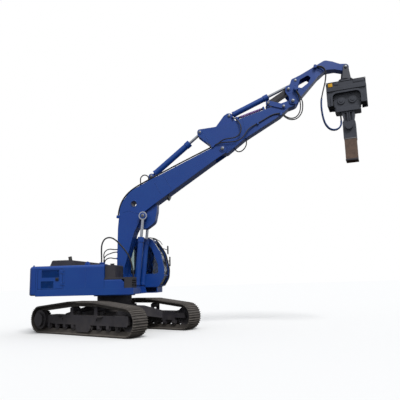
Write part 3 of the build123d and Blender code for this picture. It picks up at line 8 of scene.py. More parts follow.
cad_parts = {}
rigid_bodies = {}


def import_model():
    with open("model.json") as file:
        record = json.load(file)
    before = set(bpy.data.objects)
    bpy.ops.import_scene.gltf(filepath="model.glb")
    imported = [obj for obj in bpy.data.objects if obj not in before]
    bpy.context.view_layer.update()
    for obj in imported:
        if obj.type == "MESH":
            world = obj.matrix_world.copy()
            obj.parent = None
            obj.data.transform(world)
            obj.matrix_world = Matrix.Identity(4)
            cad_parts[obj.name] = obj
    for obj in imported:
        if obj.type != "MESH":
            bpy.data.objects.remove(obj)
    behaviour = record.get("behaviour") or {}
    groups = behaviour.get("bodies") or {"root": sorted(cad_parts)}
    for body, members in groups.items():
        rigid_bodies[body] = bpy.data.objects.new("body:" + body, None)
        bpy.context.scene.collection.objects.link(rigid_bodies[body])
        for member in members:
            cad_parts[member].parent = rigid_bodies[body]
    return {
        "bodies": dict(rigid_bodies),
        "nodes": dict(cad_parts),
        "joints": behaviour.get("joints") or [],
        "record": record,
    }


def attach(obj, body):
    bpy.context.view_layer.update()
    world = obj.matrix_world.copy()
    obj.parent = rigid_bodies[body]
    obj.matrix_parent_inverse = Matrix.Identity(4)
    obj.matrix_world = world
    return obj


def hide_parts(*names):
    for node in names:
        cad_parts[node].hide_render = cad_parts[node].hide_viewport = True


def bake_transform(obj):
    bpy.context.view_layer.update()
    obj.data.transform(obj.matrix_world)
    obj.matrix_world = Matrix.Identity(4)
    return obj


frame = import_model()
nodes = frame["nodes"]
bodyOf = {node: body for body, members in frame["record"]["behaviour"]["bodies"].items() for node in members}
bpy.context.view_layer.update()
print("frame loaded:", len(nodes), "nodes")


# Small helpers

def hexColor(code):  # sRGB hex to the linear colour that the shaders want
    parts = [int(code[place:place + 2], 16) / 255 for place in (1, 3, 5)]
    linear = [part / 12.92 if part <= 0.04045 else ((part + 0.055) / 1.055) ** 2.4 for part in parts]
    return (*linear, 1.0)


def addNode(tree, kind, settings=None, links=None):  # a node, its own values, and what feeds it
    node = tree.nodes.new(kind)
    for name, value in (settings or {}).items():
        if isinstance(name, str) and hasattr(node, name):
            setattr(node, name, value)
        else:
            node.inputs[name].default_value = value
    for name, source in (links or {}).items():
        tree.links.new(source, node.inputs[name])
    return node


def waves(millimetres):  # pattern scale, in waves per metre, from a real size
    return 1000 / millimetres


def linkObject(name, mesh):
    piece = bpy.data.objects.new(name, mesh)
    bpy.context.scene.collection.objects.link(piece)
    return piece


# Floor, light and camera

stage = {
    "floorSize": 600,
    "floorSeen": "#F2F2F1", "floorLight": "#5E5E5C",
    "skySeen": 1.0, "skyLight": 0.62, "skyColor": "#F1F3F7",
    "sunFrom": (0.30, -0.62, 0.80), "sunPower": 2.3, "sunSoft": 22,
}


def makeStage(s):
    bpy.context.scene.view_settings.view_transform = "Standard"
    world = bpy.data.worlds.new("softSky")
    bpy.context.scene.world = world
    world.use_nodes = True
    tree = world.node_tree
    tree.nodes.clear()
    path = addNode(tree, "ShaderNodeLightPath")
    seen = addNode(tree, "ShaderNodeBackground", {"Color": (1, 1, 1, 1), "Strength": s["skySeen"]})
    light = addNode(tree, "ShaderNodeBackground", {
        "Color": hexColor(s["skyColor"]), "Strength": s["skyLight"]})
    mix = addNode(tree, "ShaderNodeMixShader", links={
        0: path.outputs["Is Camera Ray"], 1: light.outputs[0], 2: seen.outputs[0]})
    addNode(tree, "ShaderNodeOutputWorld", links={"Surface": mix.outputs[0]})

    half = s["floorSize"] / 2
    mesh = bpy.data.meshes.new("floor")
    corners = [(-half, -half, 0), (half, -half, 0), (half, half, 0), (-half, half, 0)]
    mesh.from_pydata(corners, [], [(0, 1, 2, 3)])
    floor = linkObject("floor", mesh)
    material = bpy.data.materials.new("matt floor paint")
    material.use_nodes = True
    tree = material.node_tree
    tree.nodes.clear()
    path = addNode(tree, "ShaderNodeLightPath")
    color = addNode(tree, "ShaderNodeMix", {
        "data_type": "RGBA", 6: hexColor(s["floorLight"]), 7: hexColor(s["floorSeen"])},
        {0: path.outputs["Is Camera Ray"]})
    shader = addNode(tree, "ShaderNodeBsdfDiffuse", links={"Color": color.outputs[2]})
    addNode(tree, "ShaderNodeOutputMaterial", links={"Surface": shader.outputs[0]})
    mesh.materials.append(material)

    lamp = bpy.data.lights.new("sun", "SUN")
    lamp.energy = s["sunPower"]
    lamp.angle = math.radians(s["sunSoft"])
    sun = bpy.data.objects.new("sun", lamp)
    sun.rotation_mode = "QUATERNION"
    sun.rotation_quaternion = Vector(s["sunFrom"]).to_track_quat("Z", "Y")
    bpy.context.scene.collection.objects.link(sun)


photoCamera = {
    "place": (4.838, -16.246, 1.539),
    "yaw": 0.108, "pitch": 0.175, "roll": -0.027,  # radians: turned to the left, tipped up, rolled
    "lens": 42.29, "sensor": 36,
}


def makeCamera(s):
    data = bpy.data.cameras.new("camera")
    data.lens, data.sensor_width = s["lens"], s["sensor"]
    data.clip_end = 1000
    camera = bpy.data.objects.new("camera", data)
    bpy.context.scene.collection.objects.link(camera)
    flat = math.cos(s["pitch"])
    ahead = Vector((-math.sin(s["yaw"]) * flat, math.cos(s["yaw"]) * flat, math.sin(s["pitch"])))
    level = Vector((math.cos(s["yaw"]), math.sin(s["yaw"]), 0))
    over = level.cross(ahead)
    right = math.cos(s["roll"]) * level + math.sin(s["roll"]) * over
    top = math.cos(s["roll"]) * over - math.sin(s["roll"]) * level
    turn = Matrix((right, top, -ahead)).transposed().to_4x4()
    camera.matrix_world = Matrix.Translation(s["place"]) @ turn
    bpy.context.scene.camera = camera


makeStage(stage)
makeCamera(photoCamera)
print("stage and camera ready")


# Mesh helpers: every piece is gathered in one bmesh and finished once

def addBlock(shape, low, high, bevel=0.004, place=None):  # box with rounded edges
    made = bmesh.ops.create_cube(shape, size=1.0)["verts"]
    size = Vector(high) - Vector(low)
    middle = (Vector(high) + Vector(low)) / 2
    for corner in made:
        corner.co = Vector([corner.co[axis] * size[axis] + middle[axis] for axis in range(3)])
    edges = list({edge for corner in made for edge in corner.link_edges})
    widest = min(size) * 0.45
    cut = bmesh.ops.bevel(
        shape, geom=edges, offset=min(bevel, widest), segments=2, affect="EDGES", profile=0.6)
    if place is not None:
        rounded = {corner for face in cut["faces"] for corner in face.verts}
        left = {corner for corner in made if corner.is_valid}
        bmesh.ops.transform(shape, matrix=place, verts=list(rounded | left))


def addRing(shape, middle, radius, across, other, sides):
    ring = []
    for step in range(sides):
        angle = 2 * math.pi * step / sides
        ring.append(shape.verts.new(middle + radius * (math.cos(angle) * across + math.sin(angle) * other)))
    return ring


def skinRings(shape, rings):  # walls between rings of corners, and a cap on each end
    sides = len(rings[0])
    for ring, following in zip(rings, rings[1:]):
        for step in range(sides):
            after = (step + 1) % sides
            shape.faces.new((ring[step], ring[after], following[after], following[step]))
    shape.faces.new(rings[0][::-1])
    shape.faces.new(rings[-1])


def addTurned(shape, start, end, profile, sides=28):  # (share of the way, radius) rows spun on an axis
    start, end = Vector(start), Vector(end)
    along = end - start
    across = along.orthogonal().normalized()
    other = along.normalized().cross(across)
    skinRings(shape, [
        addRing(shape, start + along * share, radius, across, other, sides) for share, radius in profile])


def roundEdge(radius, edge=0.1):  # profile of a disc or short bar with eased rims
    return [(0.0, radius * (1 - edge)), (edge, radius), (1 - edge, radius), (1.0, radius * (1 - edge))]


def frameAlong(points):  # an unturning pair of cross directions at each point
    ahead = []
    for place in range(len(points)):
        before, after = points[max(place - 1, 0)], points[min(place + 1, len(points) - 1)]
        ahead.append((after - before).normalized())
    normal = ahead[0].orthogonal().normalized()
    pairs = []
    for direction in ahead:
        normal = (normal - direction * normal.dot(direction)).normalized()
        pairs.append((normal, direction.cross(normal)))
    return pairs


def addTube(shape, points, radii, sides=14):  # tube through points, one radius or one each
    points = [Vector(point) for point in points]
    radii = radii if isinstance(radii, list) else [radii] * len(points)
    skinRings(shape, [
        addRing(shape, point, radius, normal, other, sides)
        for point, radius, (normal, other) in zip(points, radii, frameAlong(points))])


def smoothPath(corners, steps=6):  # a soft line through given points
    points = [Vector(corner) for corner in corners]
    soft = [points[0]]
    for before, corner, after in zip(points, points[1:], points[2:]):
        first, last = corner.lerp(before, 0.3), corner.lerp(after, 0.3)
        for step in range(steps + 1):
            share = step / steps
            soft.append(first.lerp(corner, share).lerp(corner.lerp(last, share), share))
    return soft + [points[-1]]


def finishMesh(shape, name, finish, sharp=35):
    bmesh.ops.recalc_face_normals(shape, faces=shape.faces)
    mesh = bpy.data.meshes.new(name)
    shape.to_mesh(mesh)
    shape.free()
    mesh.shade_smooth()
    mesh.set_sharp_from_angle(angle=math.radians(sharp))
    mesh.materials.append(materials[finish])
    return linkObject(name, mesh)


def finishPiece(shape, name, finish, carrier, sharp=35):  # carrier is a CAD node on the piece's body
    piece = finishMesh(shape, name, finish, sharp)
    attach(piece, bodyOf[carrier])
    return piece


# Hoses: each is a NURBS spline over the points of its route. A hose that crosses a joint is a mesh
# tube on the same spline, fixed in place and attached to neither body.

hoses = {
    "arch_hose": {"width": 0.050, "lay": "hanging", "runs": [(2.972, [
        (-0.170, -0.950, 2.256), (-0.170, -0.948, 2.480), (-0.185, -0.945, 2.720), (-0.165, -0.940, 2.950),
        (-0.050, -0.930, 3.115), (0.150, -0.918, 3.130), (0.330, -0.902, 3.010), (0.490, -0.885, 2.830),
        (0.650, -0.868, 2.640), (0.780, -0.845, 2.400), (0.850, -0.825, 2.120), (0.882, -0.800, 1.800),
        (0.882, -0.800, 1.492)])]},
    "foot_hoses": {"width": 0.036, "lay": "loose", "between": ("revolving_frame", "boom"), "runs": [
        (0.948, [
            (-0.335, -0.140, 2.256), (-0.335, -0.140, 2.420), (-0.368, -0.142, 2.600), (-0.305, -0.148, 2.745),
            (-0.150, -0.155, 2.805), (0.010, -0.160, 2.775), (0.140, -0.160, 2.775)]),
        (0.754, [
            (-0.335, -0.200, 2.256), (-0.335, -0.200, 2.385), (-0.318, -0.205, 2.520), (-0.205, -0.212, 2.605),
            (-0.070, -0.218, 2.645), (0.040, -0.220, 2.680), (0.140, -0.220, 2.680)]),
        (0.574, [
            (-0.290, -0.260, 2.256), (-0.290, -0.260, 2.345), (-0.240, -0.268, 2.435), (-0.150, -0.272, 2.475),
            (-0.045, -0.275, 2.485), (0.050, -0.275, 2.455), (0.135, -0.275, 2.455)])]},
    "base_loops": {"width": 0.040, "lay": "loose", "runs": [(0.711, [
        (0.984, -0.175, 5.060), (0.976, -0.175, 5.180), (0.981, -0.177, 5.302), (1.068, -0.180, 5.390),
        (1.192, -0.180, 5.390), (1.281, -0.175, 5.302), (1.284, -0.168, 5.185)])]},
    "boom_lines": {"width": 0.036, "lay": "taut", "runs": [(4.260, [
        (0.196, y, 3.960), (0.233, y, 4.344), (0.595, y, 4.830), (1.233, y, 5.164), (1.799, y, 5.436),
        (2.687, y, 5.857), (3.556, y, 6.253)]) for y in (-0.248, -0.292)]},
    "elbow_hoses": {"width": 0.040, "lay": "hanging", "between": ("boom", "stick"), "runs": [
        (1.844, [
            (3.690, -0.262, 6.309), (3.825, -0.262, 6.396), (4.000, -0.345, 6.490), (4.200, -0.370, 6.510),
            (4.400, -0.365, 6.520), (4.560, -0.350, 6.620), (4.640, -0.330, 6.800), (4.620, -0.300, 7.000),
            (4.520, -0.262, 7.185), (4.410, -0.200, 7.305), (4.340, -0.125, 7.345)]),
        (1.783, [
            (3.690, -0.322, 6.309), (3.830, -0.338, 6.360), (4.010, -0.375, 6.375), (4.220, -0.395, 6.365),
            (4.440, -0.395, 6.380), (4.640, -0.375, 6.470), (4.770, -0.345, 6.640), (4.870, -0.305, 6.810),
            (5.020, -0.265, 6.930), (5.190, -0.240, 7.020)])]},
    "stick_lines": {"width": 0.040, "lay": "loose", "runs": [
        (0.831, [
            (5.250, -0.240, 7.052), (5.450, -0.240, 7.160), (5.650, -0.240, 7.275), (5.840, -0.240, 7.352),
            (6.010, -0.240, 7.352)]),
        (0.764, [
            (4.800, -0.090, 6.505), (4.803, -0.090, 6.390), (4.775, -0.090, 6.270), (4.700, -0.088, 6.165),
            (4.600, -0.086, 6.090), (4.490, -0.085, 6.080), (4.410, -0.085, 6.133), (4.370, -0.085, 6.197)])]},
    "stick_bundle": {
        "node": "stick_lines", "width": 0.080, "lay": "taut", "wrap": "violet spiral guard",
        "runs": [(0.904, [
            (4.560, -0.150, 7.315), (4.850, -0.150, 7.405), (5.140, -0.150, 7.500), (5.420, -0.150, 7.592)])]},
    "tip_hoses": {"width": 0.040, "lay": "hanging", "between": ("stick", "tip_arm"), "runs": [
        (1.594, [
            (6.090, -0.262, 7.345), (6.190, -0.302, 7.210), (6.370, -0.312, 7.110), (6.560, -0.312, 7.140),
            (6.690, -0.312, 7.300), (6.740, -0.312, 7.500), (6.735, -0.312, 7.720), (6.690, -0.310, 7.930),
            (6.620, -0.302, 8.115)]),
        (1.733, [
            (6.090, -0.314, 7.275), (6.190, -0.354, 7.140), (6.370, -0.364, 7.040), (6.595, -0.364, 7.070),
            (6.760, -0.364, 7.265), (6.810, -0.364, 7.500), (6.805, -0.364, 7.720), (6.725, -0.362, 7.930),
            (6.620, -0.354, 8.115)])]},
    "hammer_hose": {"width": 0.040, "lay": "hanging", "between": ("tip_arm", "yoke"), "runs": [(1.077, [
        (7.395, y, 8.975), (7.507, y, 8.975), (7.605, y, 8.923), (7.669, y, 8.832), (7.687, y, 8.722),
        (7.680, y, 8.600), (7.655, y, 8.440), (7.614, y, 8.280),
        (7.560, y, 8.100)]) for y in (-0.330, -0.262)]},
    "hammer_hose_end": {
        "width": 0.040, "lay": "hanging", "between": ("yoke", "exciter"), "wrap": "blue spiral guard",
        "runs": [(2.407, [
            (7.560, y, 8.100), (7.479, y, 7.830), (7.448, y + 0.020, 7.530), (7.468, y + 0.045, 7.230),
            (7.510, y + 0.075, 7.000), (7.580, y + 0.105, 6.818), (7.738, y + 0.145, 6.660),
            (7.962, y + 0.185, 6.665), (8.118, y + 0.220, 6.820), (8.135, y + 0.245, 7.045),
            (8.125, y + 0.250, 7.262)]) for y in (-0.330, -0.262)]},
}

spiralGuard = {"proud": 0.009, "sunk": 0.96, "turn": 0.055, "share": 0.62, "steps": 14, "bareEnd": 1 / 12}


def routeCurve(name, points, width):
    data = bpy.data.curves.new(name, "CURVE")
    data.dimensions = "3D"
    data.resolution_u = 10
    spline = data.splines.new("NURBS")
    spline.points.add(len(points) - 1)
    for knot, point in zip(spline.points, points):
        knot.co = (*point, 1.0)
    spline.order_u = 3
    spline.use_endpoint_u = True
    data.bevel_depth = width / 2
    data.bevel_resolution = 5
    data.use_fill_caps = True
    piece = bpy.data.objects.new(name, data)
    bpy.context.scene.collection.objects.link(piece)
    return piece


def routePoints(points):  # points along the bare spline
    bare = routeCurve("bareRoute", points, 0.0)
    mesh = bpy.data.meshes.new_from_object(bare)
    found = [corner.co.copy() for corner in mesh.vertices]
    data = bare.data
    bpy.data.objects.remove(bare)
    bpy.data.curves.remove(data)
    bpy.data.meshes.remove(mesh)
    return found


def addSpiral(shape, path, radius, s):  # a flat band wound round a hose
    pairs = frameAlong(path)
    walked = 0.0
    samples = []
    for place, (first, last) in enumerate(zip(path, path[1:])):
        span = (last - first).length
        count = max(2, round(span / s["turn"] * s["steps"]))
        for step in range(count):
            share = step / count
            normal = pairs[place][0].lerp(pairs[place + 1][0], share).normalized()
            other = pairs[place][1].lerp(pairs[place + 1][1], share).normalized()
            angle = 2 * math.pi * (walked + span * share) / s["turn"]
            out = math.cos(angle) * normal + math.sin(angle) * other
            samples.append((first.lerp(last, share), out, (last - first).normalized()))
        walked += span
    half = s["turn"] * s["share"] / 2
    rows = []
    for middle, out, ahead in samples:
        inner, outer = radius * s["sunk"], radius + s["proud"]
        rows.append([
            shape.verts.new(middle + out * reach + ahead * offset)
            for reach, offset in ((inner, -half), (outer, -half), (outer, half), (inner, half))])
    skinRings(shape, rows)


def makeHose(name, node, s, place, points):
    label = f"{name}_{place + 1}"
    crossing = "between" in s
    path = routePoints(points)
    if crossing:
        shape = bmesh.new()
        addTube(shape, path, s["width"] / 2, sides=16)
        piece = finishMesh(shape, label, "wrapped hose rubber")
    else:
        piece = routeCurve(label, points, s["width"])
        piece.data.materials.append(materials["wrapped hose rubber"])
    pieces = [piece]
    if "wrap" in s:
        shape = bmesh.new()
        reach = int(len(path) * spiralGuard["bareEnd"])
        addSpiral(shape, path[reach:-reach], s["width"] / 2, spiralGuard)
        pieces.append(finishMesh(shape, label + "_guard", s["wrap"]))
    for part in pieces:
        if crossing:
            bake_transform(part)
        else:
            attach(part, bodyOf[node])
    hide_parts(node)


def makeHoses():
    for name, s in hoses.items():
        for place, (length, points) in enumerate(s["runs"]):
            makeHose(name, s.get("node", name), s, place, points)


# Materials

def newMaterial(name):
    material = bpy.data.materials.new(name)
    material.use_nodes = True
    material.node_tree.nodes.clear()
    return material, material.node_tree


def edgeMask(tree, millimetres):  # 0 on flats, up to 1 along worn edges
    geometry = addNode(tree, "ShaderNodeNewGeometry")
    bevel = addNode(tree, "ShaderNodeBevel", {"samples": 4, "Radius": millimetres / 1000})
    dot = addNode(tree, "ShaderNodeVectorMath", {"operation": "DOT_PRODUCT"}, {
        0: geometry.outputs["Normal"], 1: bevel.outputs["Normal"]})
    return addNode(tree, "ShaderNodeMapRange", {
        "From Min": 0.995, "From Max": 0.82, "To Min": 0.0, "To Max": 1.0},
        {"Value": dot.outputs["Value"]}), bevel


def coatedSteel(name, s):  # painted or bare steel: fading, dust on top faces, worn edges, fine surface
    material, tree = newMaterial(name)
    where = addNode(tree, "ShaderNodeTexCoord").outputs["Object"]
    patches = addNode(tree, "ShaderNodeTexNoise", {
        "Scale": waves(s["patchMm"]), "Detail": 6.0, "Roughness": 0.6}, {"Vector": where})
    fade = addNode(tree, "ShaderNodeMapRange", {"From Min": 0.35, "From Max": 0.65}, {
        "Value": patches.outputs[0]})
    body = addNode(tree, "ShaderNodeMix", {
        "data_type": "RGBA", 6: hexColor(s["color"]), 7: hexColor(s["faded"])}, {0: fade.outputs[0]})
    grime = addNode(tree, "ShaderNodeTexNoise", {
        "Scale": waves(s["grimeMm"]), "Detail": 9.0, "Roughness": 0.68}, {"Vector": where})
    geometry = addNode(tree, "ShaderNodeNewGeometry")
    upward = addNode(tree, "ShaderNodeSeparateXYZ", links={0: geometry.outputs["Normal"]})
    height = addNode(tree, "ShaderNodeSeparateXYZ", links={0: where})
    lying = addNode(tree, "ShaderNodeMapRange", {
        "From Min": 0.3, "From Max": 1.0, "To Min": 0.0, "To Max": s["dustTop"]}, {"Value": upward.outputs[2]})
    splash = addNode(tree, "ShaderNodeMapRange", {
        "From Min": s["splashHeight"], "From Max": 0.0, "To Min": s["dustSide"], "To Max": s["dustLow"]},
        {"Value": height.outputs[2]})
    both = addNode(tree, "ShaderNodeMath", {"operation": "ADD"}, {0: lying.outputs[0], 1: splash.outputs[0]})
    spotted = addNode(tree, "ShaderNodeMapRange", {
        "From Min": 0.38, "From Max": 0.66, "To Min": 0.15, "To Max": 1.3}, {"Value": grime.outputs[0]})
    dusty = addNode(tree, "ShaderNodeMath", {"operation": "MULTIPLY", "use_clamp": True}, {
        0: both.outputs[0], 1: spotted.outputs[0]})
    dusted = addNode(tree, "ShaderNodeMix", {"data_type": "RGBA", 7: hexColor(s["dust"])}, {
        0: dusty.outputs[0], 6: body.outputs[2]})
    mask, bevel = edgeMask(tree, s["edgeMm"])
    broken = addNode(tree, "ShaderNodeMath", {"operation": "MULTIPLY"}, {
        0: mask.outputs[0], 1: grime.outputs[0]})
    share = addNode(tree, "ShaderNodeMath", {"operation": "MULTIPLY", "use_clamp": True, 1: s["wear"]}, {
        0: broken.outputs[0]})
    worn = addNode(tree, "ShaderNodeMix", {"data_type": "RGBA", 7: hexColor(s["edge"])}, {
        0: share.outputs[0], 6: dusted.outputs[2]})
    roughest = s["roughness"] + s["roughSpread"]
    rough = addNode(tree, "ShaderNodeMapRange", {
        "From Min": 0.3, "From Max": 0.75, "To Min": s["roughness"], "To Max": roughest},
        {"Value": grime.outputs[0]})
    rougher = addNode(tree, "ShaderNodeMath", {"operation": "MULTIPLY_ADD", 1: 0.35, "use_clamp": True}, {
        0: dusty.outputs[0], 2: rough.outputs[0]})
    fine = addNode(tree, "ShaderNodeTexNoise", {"Scale": waves(s["grainMm"]), "Detail": 4.0}, {"Vector": where})
    bump = addNode(tree, "ShaderNodeBump", {"Strength": s["bump"], "Distance": s["bumpMm"] / 1000}, {
        "Height": fine.outputs[0], "Normal": bevel.outputs["Normal"]})
    shader = addNode(tree, "ShaderNodeBsdfPrincipled", {
        "Metallic": s["metallic"], "Coat Weight": s["coat"], "Coat Roughness": 0.12}, {
        "Base Color": worn.outputs[2], "Roughness": rougher.outputs[0], "Normal": bump.outputs[0]})
    addNode(tree, "ShaderNodeOutputMaterial", links={"Surface": shader.outputs[0]})
    return material


finishes = {
    # alkyd machine enamel, sprayed: deep gloss under a thin film of road dust
    "blue enamel": {
        "color": "#003A8C", "faded": "#02408F", "dust": "#4A6890", "edge": "#3F6CB4", "patchMm": 900,
        "grimeMm": 260, "edgeMm": 9, "wear": 0.9, "dustTop": 0.10, "dustSide": 0.0, "dustLow": 0.05,
        "splashHeight": 1.6, "roughness": 0.36, "roughSpread": 0.16, "grainMm": 5, "bump": 0.05, "bumpMm": 0.6,
        "metallic": 0.0, "coat": 0.1},
    # chassis enamel, brushed thick, dulled by mud that has been washed off; on the tie link, a blue part, this
    # dark enamel is painted shade
    "chassis enamel": {
        "color": "#2B2930", "faded": "#35333A", "dust": "#6A635B", "edge": "#55525A", "patchMm": 500,
        "grimeMm": 180, "edgeMm": 8, "wear": 1.0, "dustTop": 0.45, "dustSide": 0.03, "dustLow": 0.30,
        "splashHeight": 0.9, "roughness": 0.48, "roughSpread": 0.25, "grainMm": 9, "bump": 0.12, "bumpMm": 1.2,
        "metallic": 0.0, "coat": 0.0},
    # rolled shoe steel: brown rust film, polished grey where it treads
    "rolled shoe steel": {
        "color": "#4B4846", "faded": "#5E5955", "dust": "#6E675F", "edge": "#8C857D", "patchMm": 240,
        "grimeMm": 90, "edgeMm": 7, "wear": 1.6, "dustTop": 0.35, "dustSide": 0.12, "dustLow": 0.5,
        "splashHeight": 0.6, "roughness": 0.55, "roughSpread": 0.28, "grainMm": 7, "bump": 0.25, "bumpMm": 1.5,
        "metallic": 0.25, "coat": 0.0},
    # two-pack paint on welded plate, dark grey with a cool cast, scuffed along its edges
    "plate enamel": {
        "color": "#3A3D46", "faded": "#434650", "dust": "#6D6C6C", "edge": "#6E717A", "patchMm": 420,
        "grimeMm": 150, "edgeMm": 8, "wear": 1.1, "dustTop": 0.30, "dustSide": 0.02, "dustLow": 0.03,
        "splashHeight": 2.0, "roughness": 0.42, "roughSpread": 0.2, "grainMm": 6, "bump": 0.08, "bumpMm": 0.8,
        "metallic": 0.0, "coat": 0.05},
    # hot rolled tube gone brown: mill scale with streaks of rust
    "rusted plate": {
        "color": "#5B4A40", "faded": "#7A6355", "dust": "#8A7F76", "edge": "#9A938C", "patchMm": 160,
        "grimeMm": 70, "edgeMm": 8, "wear": 1.4, "dustTop": 0.3, "dustSide": 0.1, "dustLow": 0.1,
        "splashHeight": 2.0, "roughness": 0.62, "roughSpread": 0.25, "grainMm": 6, "bump": 0.3, "bumpMm": 1.5,
        "metallic": 0.2, "coat": 0.0},
    # raw grey iron casting with a skin of oil
    "grey iron casting": {
        "color": "#3B3B3A", "faded": "#4A4845", "dust": "#6B665F", "edge": "#777470", "patchMm": 200,
        "grimeMm": 90, "edgeMm": 6, "wear": 1.0, "dustTop": 0.3, "dustSide": 0.05, "dustLow": 0.1,
        "splashHeight": 2.0, "roughness": 0.5, "roughSpread": 0.2, "grainMm": 4, "bump": 0.25, "bumpMm": 1.0,
        "metallic": 0.35, "coat": 0.0},
    # hard chromed bar, ground round: mirror bright with a trace of oil
    "hard chrome": {
        "color": "#C9CCD2", "faded": "#BDC2CA", "dust": "#9A9A98", "edge": "#D8DADF", "patchMm": 300,
        "grimeMm": 120, "edgeMm": 2, "wear": 0.2, "dustTop": 0.05, "dustSide": 0.02, "dustLow": 0.0,
        "splashHeight": 2.0, "roughness": 0.14, "roughSpread": 0.10, "grainMm": 2, "bump": 0.01, "bumpMm": 0.1,
        "metallic": 0.95, "coat": 0.0},
    # natural rubber block, moulded: near black, chalky where it flexes
    "moulded rubber": {
        "color": "#17181A", "faded": "#202123", "dust": "#55534F", "edge": "#303133", "patchMm": 120,
        "grimeMm": 60, "edgeMm": 5, "wear": 0.8, "dustTop": 0.35, "dustSide": 0.05, "dustLow": 0.05,
        "splashHeight": 2.0, "roughness": 0.7, "roughSpread": 0.15, "grainMm": 2, "bump": 0.15, "bumpMm": 0.4,
        "metallic": 0.0, "coat": 0.0},
    # bright zinc plate on fasteners, gone dull grey in the weather
    "zinc plated steel": {
        "color": "#6E7277", "faded": "#7D8084", "dust": "#6F6B64", "edge": "#A6A9AC", "patchMm": 60,
        "grimeMm": 30, "edgeMm": 2, "wear": 0.9, "dustTop": 0.25, "dustSide": 0.08, "dustLow": 0.25,
        "splashHeight": 0.9, "roughness": 0.38, "roughSpread": 0.25, "grainMm": 2, "bump": 0.1, "bumpMm": 0.3,
        "metallic": 0.75, "coat": 0.0},
    # turned bar, wiped with grease: pale and shiny, with a darker film in places
    "bright turned steel": {
        "color": "#84878C", "faded": "#74777B", "dust": "#6A6762", "edge": "#A2A5A9", "patchMm": 50,
        "grimeMm": 25, "edgeMm": 2, "wear": 0.6, "dustTop": 0.1, "dustSide": 0.05, "dustLow": 0.05,
        "splashHeight": 0.9, "roughness": 0.36, "roughSpread": 0.2, "grainMm": 1, "bump": 0.04, "bumpMm": 0.1,
        "metallic": 0.85, "coat": 0.0},
    # injection moulded ABS, black, spark eroded grain
    "moulded console plastic": {
        "color": "#1B1C1F", "faded": "#242528", "dust": "#4C4A47", "edge": "#38393C", "patchMm": 150,
        "grimeMm": 70, "edgeMm": 3, "wear": 0.6, "dustTop": 0.2, "dustSide": 0.03, "dustLow": 0.05,
        "splashHeight": 0.9, "roughness": 0.5, "roughSpread": 0.15, "grainMm": 2, "bump": 0.1, "bumpMm": 0.3,
        "metallic": 0.0, "coat": 0.0},
    # baked enamel on a thin plate, signal yellow
    "yellow enamel": {
        "color": "#F2B705", "faded": "#E3AA12", "dust": "#8A7440", "edge": "#9A7E34", "patchMm": 60,
        "grimeMm": 30, "edgeMm": 3, "wear": 0.8, "dustTop": 0.1, "dustSide": 0.08, "dustLow": 0.05,
        "splashHeight": 0.9, "roughness": 0.35, "roughSpread": 0.15, "grainMm": 3, "bump": 0.05, "bumpMm": 0.2,
        "metallic": 0.0, "coat": 0.1},
}


def glassMaterial():  # laminated safety glass, slightly green, with a patchy film of dust
    material, tree = newMaterial("safety glass")
    where = addNode(tree, "ShaderNodeTexCoord").outputs["Object"]
    film = addNode(tree, "ShaderNodeTexNoise", {"Scale": waves(220), "Detail": 6.0}, {"Vector": where})
    rough = addNode(tree, "ShaderNodeMapRange", {"To Min": 0.02, "To Max": 0.12}, {"Value": film.outputs[0]})
    shader = addNode(tree, "ShaderNodeBsdfPrincipled", {
        "Base Color": hexColor("#D7E4E2"), "Transmission Weight": 1.0, "IOR": 1.5},
        {"Roughness": rough.outputs[0]})
    addNode(tree, "ShaderNodeOutputMaterial", links={"Surface": shader.outputs[0]})
    return material


def fabricMaterial():  # woven seat cloth, charcoal, with a soft sheen across the threads
    material, tree = newMaterial("woven seat cloth")
    where = addNode(tree, "ShaderNodeTexCoord").outputs["Object"]
    threads = addNode(tree, "ShaderNodeTexWave", {"Scale": waves(24), "Distortion": 1.5}, {"Vector": where})
    color = addNode(tree, "ShaderNodeMix", {
        "data_type": "RGBA", 6: hexColor("#1C1D20"), 7: hexColor("#2C2D31")}, {0: threads.outputs[1]})
    bump = addNode(tree, "ShaderNodeBump", {"Strength": 0.3, "Distance": 0.001}, {"Height": threads.outputs[1]})
    shader = addNode(tree, "ShaderNodeBsdfPrincipled", {"Roughness": 0.85, "Sheen Weight": 0.3}, {
        "Base Color": color.outputs[2], "Normal": bump.outputs[0]})
    addNode(tree, "ShaderNodeOutputMaterial", links={"Surface": shader.outputs[0]})
    return material


def hoseMaterial():  # synthetic rubber moulded in wrapping tape: near black, dull, with a fine tape weave
    material, tree = newMaterial("wrapped hose rubber")
    where = addNode(tree, "ShaderNodeTexCoord").outputs["Object"]
    # the tape's weave is finer than this, and is drawn coarse to show
    tape = addNode(tree, "ShaderNodeTexVoronoi", {"Scale": waves(7)}, {"Vector": where})
    film = addNode(tree, "ShaderNodeTexNoise", {"Scale": waves(160), "Detail": 6.0}, {"Vector": where})
    color = addNode(tree, "ShaderNodeMix", {
        "data_type": "RGBA", 6: hexColor("#101114"), 7: hexColor("#2A2B2E")}, {0: film.outputs[0]})
    rough = addNode(tree, "ShaderNodeMapRange", {"To Min": 0.42, "To Max": 0.7}, {"Value": film.outputs[0]})
    bump = addNode(tree, "ShaderNodeBump", {"Strength": 0.25, "Distance": 0.0008}, {"Height": tape.outputs[0]})
    shader = addNode(tree, "ShaderNodeBsdfPrincipled", links={
        "Base Color": color.outputs[2], "Roughness": rough.outputs[0], "Normal": bump.outputs[0]})
    addNode(tree, "ShaderNodeOutputMaterial", links={"Surface": shader.outputs[0]})
    return material


